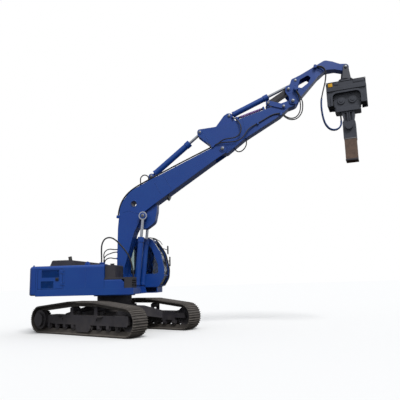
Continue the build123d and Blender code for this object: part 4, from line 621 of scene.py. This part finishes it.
def guardMaterial(name, s):  # extruded polyethylene band: even colour, waxy, scuffed paler in patches
    material, tree = newMaterial(name)
    where = addNode(tree, "ShaderNodeTexCoord").outputs["Object"]
    scuff = addNode(tree, "ShaderNodeTexNoise", {"Scale": waves(35), "Detail": 8.0}, {"Vector": where})
    share = addNode(tree, "ShaderNodeMapRange", {"From Min": 0.45, "From Max": 0.75}, {
        "Value": scuff.outputs[0]})
    color = addNode(tree, "ShaderNodeMix", {
        "data_type": "RGBA", 6: hexColor(s["color"]), 7: hexColor(s["scuffed"])}, {0: share.outputs[0]})
    rough = addNode(tree, "ShaderNodeMapRange", {"To Min": 0.35, "To Max": 0.6}, {"Value": scuff.outputs[0]})
    bump = addNode(tree, "ShaderNodeBump", {"Strength": 0.1, "Distance": 0.0005}, {"Height": scuff.outputs[0]})
    shader = addNode(tree, "ShaderNodeBsdfPrincipled", links={
        "Base Color": color.outputs[2], "Roughness": rough.outputs[0], "Normal": bump.outputs[0]})
    addNode(tree, "ShaderNodeOutputMaterial", links={"Surface": shader.outputs[0]})
    return material


def lensMaterial():  # pressed lamp glass over a bright bowl: pale, glossy, finely ribbed
    material, tree = newMaterial("ribbed lamp glass")
    where = addNode(tree, "ShaderNodeTexCoord").outputs["Object"]
    ribs = addNode(tree, "ShaderNodeTexWave", {"Scale": waves(60)}, {"Vector": where})
    color = addNode(tree, "ShaderNodeMix", {
        "data_type": "RGBA", 6: hexColor("#B9C0C6"), 7: hexColor("#E4E8EA")}, {0: ribs.outputs[1]})
    bump = addNode(tree, "ShaderNodeBump", {"Strength": 0.4, "Distance": 0.001}, {"Height": ribs.outputs[1]})
    shader = addNode(tree, "ShaderNodeBsdfPrincipled", {"Roughness": 0.08, "Metallic": 0.3}, {
        "Base Color": color.outputs[2], "Normal": bump.outputs[0]})
    addNode(tree, "ShaderNodeOutputMaterial", links={"Surface": shader.outputs[0]})
    return material


guards = {
    "violet spiral guard": {"color": "#7A3F9E", "scuffed": "#C9B9D6"},
    "blue spiral guard": {"color": "#123E86", "scuffed": "#5578AE"},
}

materials = {name: coatedSteel(name, s) for name, s in finishes.items()}
materials.update({name: guardMaterial(name, s) for name, s in guards.items()})
materials["safety glass"] = glassMaterial()
materials["woven seat cloth"] = fabricMaterial()
materials["wrapped hose rubber"] = hoseMaterial()
materials["ribbed lamp glass"] = lensMaterial()

nodeFinish = {
    "rolled shoe steel": ["track_right", "track_left"],
    "chassis enamel": [
        "car_body", "slew_ring", "idler_right", "idler_left", "sprocket_right", "sprocket_left",
        "rollers_right", "rollers_left", "track_frame_right", "track_frame_left", "engine_hood", "tank",
        # tie_link is a blue link: this near black enamel on it is painted shade, for the shade it lies in
        "front_step", "tie_link"],
    "grey iron casting": ["engine_block", "exhaust"],
    "hard chrome": ["lift_rods", "stick_rod", "tip_rod"],
    "safety glass": ["cab_glass"],
    "plate enamel": ["yoke", "rotator", "hammer_hood", "exciter", "clamp_body", "clamp_jaw"],
    "rusted plate": ["pile_sleeve"],
}


def dressNodes():
    chosen = {node: finish for finish, members in nodeFinish.items() for node in members}
    for name, node in nodes.items():
        node.data.materials.clear()
        node.data.materials.append(materials[chosen.get(name, "blue enamel")])


dressNodes()
print("materials on", len(nodes), "nodes")
makeHoses()
print("hoses ready")


# Frames of the turned assemblies

turned = {"tracks": -30.8, "hammer": -15.5, "hammerAxis": (8.41, 0, 0)}  # degrees, metres
trackFrame = Matrix.Rotation(math.radians(turned["tracks"]), 4, "Z")
hammerTurn = Matrix.Rotation(math.radians(turned["hammer"]), 4, "Z")
hammerFrame = Matrix.Translation(turned["hammerAxis"]) @ hammerTurn


# Bolts: hexagon heads on washers, set on points by Geometry Nodes

boltSizes = {"headWidth": 0.030, "headHeight": 0.013, "washerWidth": 0.040, "washerHeight": 0.004}


def boltTree():
    tree = bpy.data.node_groups.new("boltsOnPoints", "GeometryNodeTree")
    face = tree.interface
    face.new_socket("Geometry", in_out="INPUT", socket_type="NodeSocketGeometry")
    for label in ("Head width", "Head height", "Washer width", "Washer height"):
        face.new_socket(label, in_out="INPUT", socket_type="NodeSocketFloat")
    face.new_socket("Finish", in_out="INPUT", socket_type="NodeSocketMaterial")
    face.new_socket("Geometry", in_out="OUTPUT", socket_type="NodeSocketGeometry")
    given = addNode(tree, "NodeGroupInput").outputs
    halfHead = addNode(tree, "ShaderNodeMath", {"operation": "MULTIPLY", 1: 0.5}, {0: given["Head width"]})
    halfWasher = addNode(tree, "ShaderNodeMath", {"operation": "MULTIPLY", 1: 0.5}, {
        0: given["Washer width"]})
    head = addNode(tree, "GeometryNodeMeshCylinder", {"Vertices": 6}, {
        "Radius": halfHead.outputs[0], "Depth": given["Head height"]})
    washer = addNode(tree, "GeometryNodeMeshCylinder", {"Vertices": 16}, {
        "Radius": halfWasher.outputs[0], "Depth": given["Washer height"]})
    headLift = addNode(tree, "ShaderNodeMath", {"operation": "MULTIPLY_ADD", 1: 0.5}, {
        0: given["Head height"], 2: given["Washer height"]})
    washerLift = addNode(tree, "ShaderNodeMath", {"operation": "MULTIPLY", 1: 0.5}, {
        0: given["Washer height"]})
    headPlace = addNode(tree, "ShaderNodeCombineXYZ", links={2: headLift.outputs[0]})
    washerPlace = addNode(tree, "ShaderNodeCombineXYZ", links={2: washerLift.outputs[0]})
    raised = addNode(tree, "GeometryNodeTransform", links={
        "Geometry": head.outputs["Mesh"], "Translation": headPlace.outputs[0]})
    seated = addNode(tree, "GeometryNodeTransform", links={
        "Geometry": washer.outputs["Mesh"], "Translation": washerPlace.outputs[0]})
    bolt = addNode(tree, "GeometryNodeJoinGeometry")
    tree.links.new(raised.outputs[0], bolt.inputs[0])
    tree.links.new(seated.outputs[0], bolt.inputs[0])
    facing = addNode(tree, "GeometryNodeInputNamedAttribute", {"data_type": "FLOAT_VECTOR", "Name": "facing"})
    size = addNode(tree, "GeometryNodeInputNamedAttribute", {"data_type": "FLOAT", "Name": "size"})
    turn = addNode(tree, "FunctionNodeAlignRotationToVector", {"axis": "Z"}, {"Vector": facing.outputs[0]})
    placed = addNode(tree, "GeometryNodeInstanceOnPoints", links={
        "Points": given["Geometry"], "Instance": bolt.outputs[0], "Rotation": turn.outputs[0],
        "Scale": size.outputs[0]})
    real = addNode(tree, "GeometryNodeRealizeInstances", links={0: placed.outputs[0]})
    painted = addNode(tree, "GeometryNodeSetMaterial", links={
        0: real.outputs[0], "Material": given["Finish"]})
    addNode(tree, "NodeGroupOutput", links={0: painted.outputs[0]})
    return tree


def makeBolts(name, rows, finish, carrier, s=boltSizes):  # rows of (place, facing, size)
    points = bpy.data.meshes.new(name + "Points")
    points.from_pydata([row[0] for row in rows], [], [])
    # Known fault: adding size moves the data that facing refers to, so the loop writes each facing over
    # its place and the bolts gather round the origin. Both should be fetched by name after both are added.
    facing = points.attributes.new("facing", "FLOAT_VECTOR", "POINT")
    size = points.attributes.new("size", "FLOAT", "POINT")
    for place, row in enumerate(rows):
        facing.data[place].vector = row[1]
        size.data[place].value = row[2]
    seed = linkObject(name + "Seed", points)
    modifier = seed.modifiers.new("bolts", "NODES")
    modifier.node_group = bolts
    values = {
        "Head width": s["headWidth"], "Head height": s["headHeight"], "Washer width": s["washerWidth"],
        "Washer height": s["washerHeight"], "Finish": materials[finish]}
    for socket in bolts.interface.items_tree:
        if socket.in_out == "INPUT" and socket.name in values:
            modifier[socket.identifier] = values[socket.name]
    evaluated = seed.evaluated_get(bpy.context.evaluated_depsgraph_get())
    mesh = bpy.data.meshes.new_from_object(evaluated)
    bpy.data.objects.remove(seed)
    piece = linkObject(name, mesh)
    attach(piece, bodyOf[carrier])


def boltCircle(centre, axis, radius, count, size, frame=None, start=0.0):
    axis = Vector(axis).normalized()
    across = axis.orthogonal().normalized()
    other = axis.cross(across)
    rows = []
    for step in range(count):
        angle = start + 2 * math.pi * step / count
        place = Vector(centre) + radius * (math.cos(angle) * across + math.sin(angle) * other)
        rows.append((place, axis, size))
    return inFrame(rows, frame)


def boltRow(first, last, count, axis, size, frame=None):
    first, last = Vector(first), Vector(last)
    places = [first.lerp(last, (step + 0.5) / count) for step in range(count)]
    return inFrame([(place, Vector(axis), size) for place in places], frame)


def inFrame(rows, frame):
    if frame is None:
        return rows
    return [(frame @ place, frame.to_3x3() @ axis, size) for place, axis, size in rows]


bolts = boltTree()


# Operator's seat: padded cushions on a steel box, with two arm consoles and their levers

seat = {
    "cushion": ((0.25, 0.765, 1.835), (0.75, 1.245, 1.950)),
    "back": ((0.185, 0.775, 1.935), (0.300, 1.235, 2.390)),
    "head": ((0.190, 0.885, 2.400), (0.275, 1.125, 2.550)),
    "roundness": 5.0, "pullIn": 0.05, "channelEvery": 0.085, "channelDepth": 0.007, "channelWidth": 0.008,
    "sewnFrom": 0.3, "grid": 26,
    "frame": [  # low, high, bevel
        ((0.24, 0.78, 1.497), (0.72, 1.23, 1.60), 0.012),  # base box
        ((0.27, 0.82, 1.60), (0.68, 1.19, 1.70), 0.03),  # bellows over the suspension
        ((0.255, 0.79, 1.70), (0.72, 1.22, 1.838), 0.02),  # cushion pan
        ((0.182, 0.85, 1.80), (0.235, 1.16, 2.30), 0.015)],  # back frame
    "middle": 1.005, "consoleReach": (0.27, 0.36),
    "consoles": [((0.36, 1.84), (0.90, 2.04), 0.025), ((0.40, 2.045), (0.70, 2.075), 0.014)],  # box, arm pad
    "leverReach": 0.315, "lever": [(0.84, 2.03), (0.845, 2.09)], "leverRadius": 0.012,
    "knob": ((0.822, 2.045), (0.868, 2.094), 0.015), "knobHalf": 0.022,
    "postSides": (0.87, 1.14), "post": [(0.225, 2.36), (0.225, 2.44)], "postRadius": 0.008,
}


def makeCushion(name, box, face, s):  # face is the axis of the side that is sat on or leaned on
    low, high = Vector(box[0]), Vector(box[1])
    half, middle = (high - low) / 2, (high + low) / 2
    shape = bmesh.new()
    bmesh.ops.create_cube(shape, size=2.0)
    bmesh.ops.subdivide_edges(shape, edges=shape.edges, cuts=s["grid"], use_grid_fill=True)
    run = 2 if face == 0 else 0  # channels are sewn across this axis
    for corner in shape.verts:
        unit = Vector(corner.co)
        swell = sum(abs(part) ** s["roundness"] for part in unit) ** (1 / s["roundness"])
        unit = unit / swell
        side = 1 - s["pullIn"] * (1 - abs(unit[1]) ** 2) * abs(unit[run]) ** 3
        unit[run] *= side
        place = Vector([middle[axis] + half[axis] * unit[axis] for axis in range(3)])
        if unit[face] > s["sewnFrom"]:
            offset = (place[run] - middle[run]) % s["channelEvery"] - s["channelEvery"] / 2
            furrow = s["channelDepth"] * math.exp(-(offset / s["channelWidth"]) ** 2)
            place[face] -= furrow * (unit[face] - s["sewnFrom"])
        corner.co = place
    piece = finishPiece(shape, name, "woven seat cloth", "cab_shell", sharp=80)
    return piece


def makeSeat(s):
    cushion = makeCushion("seat_cushion", s["cushion"], 2, s)
    makeCushion("seat_back", s["back"], 0, s)
    makeCushion("seat_headrest", s["head"], 0, s)
    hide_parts("operator_seat")
    shape = bmesh.new()
    for low, high, bevel in s["frame"]:
        addBlock(shape, low, high, bevel)
    for side in (-1, 1):
        near, far = sorted(s["middle"] + side * reach for reach in s["consoleReach"])
        for (x, z), (farX, farZ), bevel in s["consoles"]:
            addBlock(shape, (x, near, z), (farX, far, farZ), bevel)
        y = s["middle"] + side * s["leverReach"]
        addTube(shape, [(x, y, z) for x, z in s["lever"]], s["leverRadius"], sides=10)
        (x, z), (farX, farZ), bevel = s["knob"]
        addBlock(shape, (x, y - s["knobHalf"], z), (farX, y + s["knobHalf"], farZ), bevel)
    for y in s["postSides"]:
        addTube(shape, [(x, y, z) for x, z in s["post"]], s["postRadius"], sides=8)
    finishPiece(shape, "seat_frame", "moulded console plastic", "cab_shell")


makeSeat(seat)
print("seat ready")


# Suspension pads of the hammer: rubber blocks bonded between steel plates

pads = {
    "inner": 0.44, "outer": 0.635, "plate": 0.014, "halfWidth": 0.085, "halfHeight": 0.075, "bulge": 0.010,
    "across": (-0.11, 0.11), "heights": (7.655, 7.855),
}


def addBulged(shape, low, high, bulge, place):  # block whose free sides belly out between its bonded ends
    small = bmesh.new()
    bmesh.ops.create_cube(small, size=2.0)
    bmesh.ops.subdivide_edges(small, edges=small.edges, cuts=7, use_grid_fill=True)
    half, middle = (Vector(high) - Vector(low)) / 2, (Vector(high) + Vector(low)) / 2
    for corner in small.verts:
        unit = Vector(corner.co)
        belly = bulge * (1 - unit[0] ** 2)
        corner.co = place @ (middle + Vector((
            half[0] * unit[0], (half[1] + belly) * unit[1], (half[2] + belly) * unit[2])))
    mesh = bpy.data.meshes.new("oneBlock")
    small.to_mesh(mesh)
    small.free()
    shape.from_mesh(mesh)
    bpy.data.meshes.remove(mesh)


def makePads(s):
    rubber, plates = bmesh.new(), bmesh.new()
    wide, tall = s["halfWidth"] - s["bulge"], s["halfHeight"] - s["bulge"]
    for side in (-1, 1):
        inner, outer = sorted((side * s["inner"], side * s["outer"]))
        for y in s["across"]:
            for z in s["heights"]:
                low, high = (inner + s["plate"], y - wide, z - tall), (outer - s["plate"], y + wide, z + tall)
                addBulged(rubber, low, high, s["bulge"], hammerFrame)
                for start in (inner, outer - s["plate"]):
                    low = (start, y - s["halfWidth"], z - s["halfHeight"])
                    high = (start + s["plate"], y + s["halfWidth"], z + s["halfHeight"])
                    addBlock(plates, low, high, 0.004, hammerFrame)
    piece = finishPiece(rubber, "suspension_rubber", "moulded rubber", "exciter", sharp=60)
    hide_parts("shock_pads")
    finishPiece(plates, "suspension_plates", "zinc plated steel", "exciter")


makePads(pads)


# Bolted joints: circles are (centre, radius, count, size, start), rows are (first, last, count, size).
# Those on one side are given for the left and mirrored.

boltGroups = {
    "driveCaps": ((-1.93, 1.605, 0.465), 0.185, 10, 0.9, 0.0),
    "trackRows": [
        ((1.72, 1.530, 0.56), (2.12, 1.530, 0.56), 3, 0.9),
        ((1.72, 1.530, 0.38), (2.12, 1.530, 0.38), 3, 0.9)],
    "hoodRows": [
        ((-0.62, 0.350, 8.125), (0.62, 0.350, 8.125), 2, 1.0),
        ((-0.62, 0.310, 7.575), (-0.50, 0.310, 7.575), 2, 0.9),
        ((0.50, 0.310, 7.575), (0.62, 0.310, 7.575), 2, 0.9),
        ((-0.60, 0.310, 7.66), (-0.60, 0.310, 7.96), 3, 0.8),
        ((0.60, 0.310, 7.66), (0.60, 0.310, 7.96), 3, 0.8)],
    "exciterCovers": [((x, 0.235, 7.705), 0.098, 8, 0.75, math.pi / 8) for x in (-0.19, 0.19)],
    "clampRow": ((-0.36, 0.20, 7.44), (0.36, 0.20, 7.44), 6, 0.7),
    "clampCylinder": ((0, -0.275, 6.76), 0.098, 8, 0.7, math.pi / 8),
    "rotatorRing": ((0, 0, 8.385), 0.245, 16, 0.8, 0.0),
    "yokeRing": ((8.41, 0, 8.515), 0.218, 8, 0.8, math.pi / 8),
    "yokeCheeks": ((8.41, 0.18, 8.95), 0.066, 3, 0.45, 0.0),
}


def circleOn(group, axis, side=1, frame=None):
    (x, y, z), radius, count, size, start = group
    return boltCircle((x, side * y, z), axis, radius, count, size, frame, start)


def rowOn(group, side, frame):
    (x, y, z), (farX, farY, farZ), count, size = group
    return boltRow((x, side * y, z), (farX, side * farY, farZ), count, (0, side, 0), size, frame)


def makeAllBolts(s):
    rows = []
    for side in (-1, 1):
        rows += circleOn(s["driveCaps"], (0, side, 0), side, trackFrame)
        for group in s["trackRows"]:
            rows += rowOn(group, side, trackFrame)
    makeBolts("undercarriage_bolts", rows, "zinc plated steel", "car_body")

    rows = []
    for side in (-1, 1):
        for group in s["hoodRows"]:
            rows += rowOn(group, side, hammerFrame)
        for group in s["exciterCovers"]:
            rows += circleOn(group, (0, side, 0), side, hammerFrame)
        rows += rowOn(s["clampRow"], side, hammerFrame)
    rows += circleOn(s["clampCylinder"], (0, -1, 0), 1, hammerFrame)
    rows += circleOn(s["rotatorRing"], (0, 0, 1), 1, hammerFrame)
    makeBolts("hammer_bolts", rows, "zinc plated steel", "hammer_hood")

    rows = circleOn(s["yokeRing"], (0, 0, 1))
    for side in (-1, 1):
        rows += circleOn(s["yokeCheeks"], (0, side, 0), side)
    makeBolts("yoke_bolts", rows, "zinc plated steel", "yoke")


makeAllBolts(boltGroups)
print("pads and bolts ready")


# Pin ends: turned caps with a grease nipple, proud of the bosses

pinCaps = {
    "proud": 0.012, "sunk": 0.004, "rim": 0.86, "nipple": 0.009, "nippleRadius": 0.010, "nippleTip": 0.006,
    "rows": [  # carrier, x, z, outer face, radius
        ("boom", 3.950, 6.170, 0.340, 0.062), ("boom", 1.120, 3.890, 0.495, 0.060),
        ("boom", 1.350, 5.360, 0.115, 0.052), ("stick", 3.150, 6.850, 0.227, 0.052),
        ("stick", 4.220, 7.430, 0.120, 0.050), ("tip_arm", 6.490, 7.780, 0.287, 0.058),
        ("tip_arm", 6.360, 8.230, 0.287, 0.050), ("tip_arm", 6.620, 8.540, 0.250, 0.050),
        ("stick", 6.160, 7.600, 0.275, 0.050), ("guide_links", 5.630, 7.770, 0.275, 0.048),
        ("yoke", 8.410, 8.950, 0.205, 0.050)],
}


def makePinCaps(s):
    for carrier in sorted({row[0] for row in s["rows"]}):
        shape = bmesh.new()
        for owner, x, z, face, radius in s["rows"]:
            if owner != carrier:
                continue
            for side in (-1, 1):
                start, end = (x, side * (face - s["sunk"]), z), (x, side * (face + s["proud"]), z)
                addTurned(shape, start, end, [(0.0, radius), (0.7, radius), (1.0, radius * s["rim"])], 32)
                tip = (x, side * (face + s["proud"] + s["nipple"]), z)
                nipple = [(0.0, s["nippleRadius"]), (0.5, s["nippleRadius"]), (1.0, s["nippleTip"])]
                addTurned(shape, end, tip, nipple, 10)
        finishPiece(shape, carrier + "_pin_caps", "bright turned steel", carrier)


makePinCaps(pinCaps)


# Weld beads on both sides of the boom, the stick and the tip arm

beads = {
    "width": 0.011, "ripple": 0.0012, "every": 0.006,
    "boom": {"face": 0.2955, "lines": [
        [(1.520, 5.070), (1.730, 4.660)], [(1.850, 5.300), (2.110, 4.820)],
        [(0.360, 4.050), (0.580, 4.110), (0.830, 4.010), (0.990, 4.000)]]},
    "stick": {"face": 0.2155, "lines": [[(3.250, 6.860), (3.510, 6.420)], [(4.700, 7.250), (4.780, 6.720)]]},
    "tip_arm": {"face": 0.2505, "lines": [
        [(6.580, 8.370), (6.920, 8.150)], [(6.360, 8.060), (6.540, 8.090)]]},
}


def addBead(shape, corners, face, side, s):
    points = [Vector((x, side * face, z)) for x, z in corners]
    path = []
    for first, last in zip(points, points[1:]):
        count = max(2, round((last - first).length / s["every"]))
        path += [first.lerp(last, step / count) for step in range(count)]
    path.append(points[-1])
    wobble = [s["width"] / 2 + s["ripple"] * (step % 2) for step in range(len(path))]
    addTube(shape, path, wobble, sides=8)


def makeBeads(s):
    for carrier in ("boom", "stick", "tip_arm"):
        shape = bmesh.new()
        for side in (-1, 1):
            for corners in s[carrier]["lines"]:
                addBead(shape, corners, s[carrier]["face"], side, s)
        finishPiece(shape, carrier + "_weld_beads", "blue enamel", carrier, sharp=60)


makeBeads(beads)
print("pin caps and welds ready")


# Cab fittings

cabTrim = {
    "rail": [(1.200, 3.195), (1.370, 2.960), (1.560, 2.660), (1.630, 2.370), (1.690, 2.080), (1.668, 1.770),
             (1.490, 1.480)],
    "railSide": 1.440, "railRadius": 0.026,
    "slats": [(1.02, 3.225), (1.14, 3.222), (1.25, 3.205), (1.35, 3.145)],
    "slatEnds": ((0.96, 3.19), (1.43, 3.02)),
    "slatSides": (0.62, 1.44), "slatRadius": 0.014, "slatCrown": 0.012, "slatRimRadius": 0.012,
    "mirrors": [  # low corner, high corner, foot of the arm on the guard
        ((1.600, 1.50, 2.66), (1.630, 1.66, 2.98), (1.425, 1.44, 2.870)),
        ((1.680, 1.47, 2.20), (1.712, 1.60, 2.56), (1.625, 1.44, 2.400))],
    "mirrorBevel": 0.022, "armBend": (0.04, 0.05), "armRadius": 0.014,
    "mirrorFace": {"behind": 0.003, "depth": 0.004, "side": 0.012, "end": 0.016, "bevel": 0.001},
    "wiper": [(1.672, 1.00, 1.98), (1.668, 1.02, 2.18), (1.640, 1.04, 2.36)], "wiperRadius": 0.007,
    "blade": [(1.671, 0.94, 2.12), (1.628, 1.10, 2.52)], "bladeRadius": 0.009,
    "grabRail": [(1.475, 1.62), (1.512, 1.62), (1.512, 2.62), (1.475, 2.62)],
    "grabRailPlace": 0.330, "grabRailRadius": 0.013,
    "latch": ((1.22, 1.500, 1.99), (1.40, 1.510, 2.07), 0.004),
    "handle": [(1.25, 1.505), (1.26, 1.526), (1.37, 1.526), (1.38, 1.505)],
    "handleHeight": 2.03, "handleRadius": 0.009,
}


def makeCabTrim(s):
    shape = bmesh.new()
    rail = smoothPath([(x, s["railSide"], z) for x, z in s["rail"]])
    addTube(shape, rail, s["railRadius"], sides=14)
    first, last = s["slatSides"]
    for x, z in s["slats"]:
        crown = (x, (first + last) / 2, z + s["slatCrown"])
        addTube(shape, [(x, first, z), crown, (x, last, z)], s["slatRadius"], sides=12)
    start, end = s["slatEnds"]
    for y in s["slatSides"]:
        rim = smoothPath([(x, y, z) for x, z in [start] + s["slats"] + [end]])
        addTube(shape, rim, s["slatRimRadius"], sides=12)
    ahead, aside = s["armBend"]
    for low, high, foot in s["mirrors"]:
        addBlock(shape, low, high, s["mirrorBevel"])
        middle = (Vector(low) + Vector(high)) / 2
        arm = smoothPath([foot, (foot[0] + ahead, foot[1] + aside, foot[2]), middle])
        addTube(shape, arm, s["armRadius"], sides=10)
    addTube(shape, smoothPath(s["wiper"]), s["wiperRadius"], sides=8)
    addTube(shape, s["blade"], s["bladeRadius"], sides=8)
    finishPiece(shape, "cab_guard_and_mirrors", "moulded console plastic", "cab_shell")

    glassFaces, face = bmesh.new(), s["mirrorFace"]
    for low, high, _ in s["mirrors"]:
        near = (low[0] - face["behind"], low[1] + face["side"], low[2] + face["end"])
        far = (low[0] + face["depth"], high[1] - face["side"], high[2] - face["end"])
        addBlock(glassFaces, near, far, face["bevel"])
    finishPiece(glassFaces, "mirror_faces", "bright turned steel", "cab_shell")

    grip = bmesh.new()  # behind the door
    path = smoothPath([(s["grabRailPlace"], y, z) for y, z in s["grabRail"]])
    addTube(grip, path, s["grabRailRadius"], sides=12)
    finishPiece(grip, "cab_grab_rail", "chassis enamel", "cab_shell")
    latch = bmesh.new()
    addBlock(latch, *s["latch"])
    handle = smoothPath([(x, y, s["handleHeight"]) for x, y in s["handle"]])
    addTube(latch, handle, s["handleRadius"], sides=10)
    finishPiece(latch, "cab_door_handle", "moulded console plastic", "cab_door")


makeCabTrim(cabTrim)


# House fittings: door latches, lifting lug, filler caps and lifting eyes

houseTrim = {
    "latch": {"place": (-1.46, 1.79), "faces": (1.506, 1.522), "half": (0.055, 0.045), "bevel": 0.008,
              "button": (1.52, 1.534), "buttonRadius": 0.022},
    "lug": {"place": (-0.56, -1.20, 2.216), "half": (0.085, 0.012), "height": 0.07, "bevel": 0.006,
            "eyeHeight": 0.06, "eyeHalf": 0.014, "eyeRadius": 0.062},
    "filler": {"place": (-0.08, -1.17, 2.216), "height": 0.075, "sides": 32,
               "profile": [(0, 0.075), (0.5, 0.075), (0.55, 0.09), (0.95, 0.09), (1, 0.08)]},
    "tankCap": {"place": (0.26, -1.15, 2.19), "height": 0.055, "sides": 28,
                "profile": [(0, 0.06), (0.55, 0.06), (0.6, 0.07), (0.95, 0.07), (1, 0.06)]},
    "eyes": [(-2.52, -0.95, 2.216), (-2.52, 0.95, 2.216)], "eyeBend": 0.05, "eyeBar": 0.014,
    "sunk": 0.01,
}


def addCap(shape, s, sunk):
    x, y, z = s["place"]
    addTurned(shape, (x, y, z - sunk), (x, y, z + s["height"]), s["profile"], s["sides"])


def makeHouseTrim(s):
    latch = s["latch"]
    (x, z), (halfX, halfZ) = latch["place"], latch["half"]
    inner, outer = latch["button"]
    for side, door in ((-1, "door_right"), (1, "door_left")):
        shape = bmesh.new()
        low, high = sorted(side * face for face in latch["faces"])
        addBlock(shape, (x - halfX, low, z - halfZ), (x + halfX, high, z + halfZ), latch["bevel"])
        addTurned(shape, (x, side * inner, z), (x, side * outer, z), roundEdge(latch["buttonRadius"]), 20)
        finishPiece(shape, door + "_latch", "moulded console plastic", door)
    shape, lug = bmesh.new(), s["lug"]
    (x, y, z), (halfX, halfY) = lug["place"], lug["half"]
    low, high = (x - halfX, y - halfY, z - s["sunk"]), (x + halfX, y + halfY, z + lug["height"])
    addBlock(shape, low, high, lug["bevel"])
    eye, eyeHalf = z + lug["eyeHeight"], lug["eyeHalf"]
    addTurned(shape, (x, y - eyeHalf, eye), (x, y + eyeHalf, eye), roundEdge(lug["eyeRadius"], 0.15), 28)
    addCap(shape, s["filler"], s["sunk"])
    for x, y, z in s["eyes"]:
        turns = [math.pi * step / 12 for step in range(-1, 14)]
        ring = [(x, y + s["eyeBend"] * math.cos(turn), z + s["eyeBend"] * math.sin(turn)) for turn in turns]
        addTube(shape, ring, s["eyeBar"], sides=12)
    finishPiece(shape, "house_top_fittings", "blue enamel", "housing_right")
    shape = bmesh.new()
    addCap(shape, s["tankCap"], s["sunk"])
    finishPiece(shape, "tank_cap", "chassis enamel", "tank")


makeHouseTrim(houseTrim)


# Boom lamp under the bend: profiles are (share of the way, share of the radius)

boomLamp = {
    "place": (1.99, -0.16, 4.52), "radius": 0.085, "depth": 0.11, "aim": (0.86, 0.0, -0.5),
    "bowl": [(0.0, 0.45), (0.35, 0.95), (0.85, 1.0), (0.9, 1.08), (1.0, 1.08)],
    "lens": [(0.0, 0.98), (0.6, 0.9), (1.0, 0.5)], "lensDepth": 0.012,
    "bracket": ((-0.02, -0.03, 0.0), (0.012, 0.03, 0.20), 0.006),
}


def makeBoomLamp(s):
    place, aim = Vector(s["place"]), Vector(s["aim"]).normalized()
    shape = bmesh.new()
    back, front = place - aim * s["depth"] / 2, place + aim * s["depth"] / 2
    addTurned(shape, back, front, [(share, s["radius"] * width) for share, width in s["bowl"]], 32)
    low, high, bevel = s["bracket"]
    addBlock(shape, place + Vector(low), place + Vector(high), bevel)
    finishPiece(shape, "boom_lamp", "moulded console plastic", "boom")
    shape = bmesh.new()
    lens = [(share, s["radius"] * width) for share, width in s["lens"]]
    addTurned(shape, front, front + aim * s["lensDepth"], lens, 32)
    finishPiece(shape, "boom_lamp_glass", "ribbed lamp glass", "boom")


makeBoomLamp(boomLamp)


# Blank plates on the hammer's hood, and the two raised panels beside the rotator

hoodPlates = {
    "yellow": ((-0.590, -0.324, 8.225), (-0.445, -0.309, 8.352), 0.003),
    "panels": [
        ((-0.40, -0.322, 8.262), (-0.24, -0.309, 8.368)),
        ((0.25, -0.322, 8.262), (0.60, -0.309, 8.368))],
    "edge": [
        ((-0.66, -0.326, 8.372), (0.66, -0.309, 8.392)),
        ((-0.668, -0.326, 8.26), (-0.640, -0.309, 8.392)),
        ((0.640, -0.326, 8.26), (0.668, -0.309, 8.392))],
    "badge": ((-0.16, -0.232, 8.40), (0.16, -0.212, 8.47)),
    "ribs": {"places": (-0.035, 0.035), "half": 0.012, "faces": (0.18, 0.215), "heights": (6.95, 7.30)},
    "bevel": 0.004,
}


def makeHoodPlates(s):
    shape = bmesh.new()
    addBlock(shape, *s["yellow"], hammerFrame)
    finishPiece(shape, "hood_plate_yellow", "yellow enamel", "hammer_hood")
    shape = bmesh.new()
    for low, high in s["panels"] + s["edge"]:
        for side in (-1, 1):
            near, far = sorted((low[1] * -side, high[1] * -side))
            addBlock(shape, (low[0], near, low[2]), (high[0], far, high[2]), s["bevel"], hammerFrame)
    low, high = s["badge"]
    addBlock(shape, low, high, s["bevel"], hammerFrame)
    ribs = s["ribs"]  # on the clamp's neck
    low, high = ribs["heights"]
    for side in (-1, 1):
        near, far = sorted(side * face for face in ribs["faces"])
        for x in ribs["places"]:
            left, right = x - ribs["half"], x + ribs["half"]
            addBlock(shape, (left, near, low), (right, far, high), s["bevel"], hammerFrame)
    finishPiece(shape, "hood_panels", "plate enamel", "hammer_hood")


makeHoodPlates(hoodPlates)


# Rims of the sleeve: a bright worn edge at its head and a dark band at its mouth

sleeveRims = {"half": 0.200, "proud": 0.006, "sunk": 0.003, "bevel": 0.003,
              "head": (6.296, 6.322), "mouth": (5.541, 5.600)}


def makeSleeveRims(s):
    reach = s["half"] + s["proud"]
    for name, finish, (low, high) in (
            ("sleeve_head_rim", "bright turned steel", s["head"]),
            ("sleeve_mouth_band", "chassis enamel", s["mouth"])):
        shape = bmesh.new()
        for side in (-1, 1):
            near, far = sorted((side * (s["half"] - s["sunk"]), side * reach))
            addBlock(shape, (-reach, near, low), (reach, far, high), s["bevel"], hammerFrame)
            addBlock(shape, (near, -reach, low), (far, reach, high), s["bevel"], hammerFrame)
        finishPiece(shape, name, finish, "pile_sleeve")


makeSleeveRims(sleeveRims)


# Saddles that hold the two lines on the boom

saddles = {
    "side": -0.270, "halfLength": 0.022, "across": (-0.025, 0.055), "heights": (-0.038, 0.026),
    "bevel": 0.006,
    "places": [  # x, z, tilt in degrees
        (0.80, 4.925, 27.5), (1.50, 5.282, 25.7), (2.25, 5.640, 25.3), (3.15, 6.060, 24.5)],
}


def makeSaddles(s):
    shape = bmesh.new()
    (near, far), (low, high) = s["across"], s["heights"]
    for x, z, tilt in s["places"]:
        frameHere = Matrix.Translation((x, s["side"], z)) @ Matrix.Rotation(math.radians(-tilt), 4, "Y")
        addBlock(shape, (-s["halfLength"], near, low), (s["halfLength"], far, high), s["bevel"], frameHere)
    finishPiece(shape, "line_saddles", "zinc plated steel", "boom")


makeSaddles(saddles)
print("fittings ready")
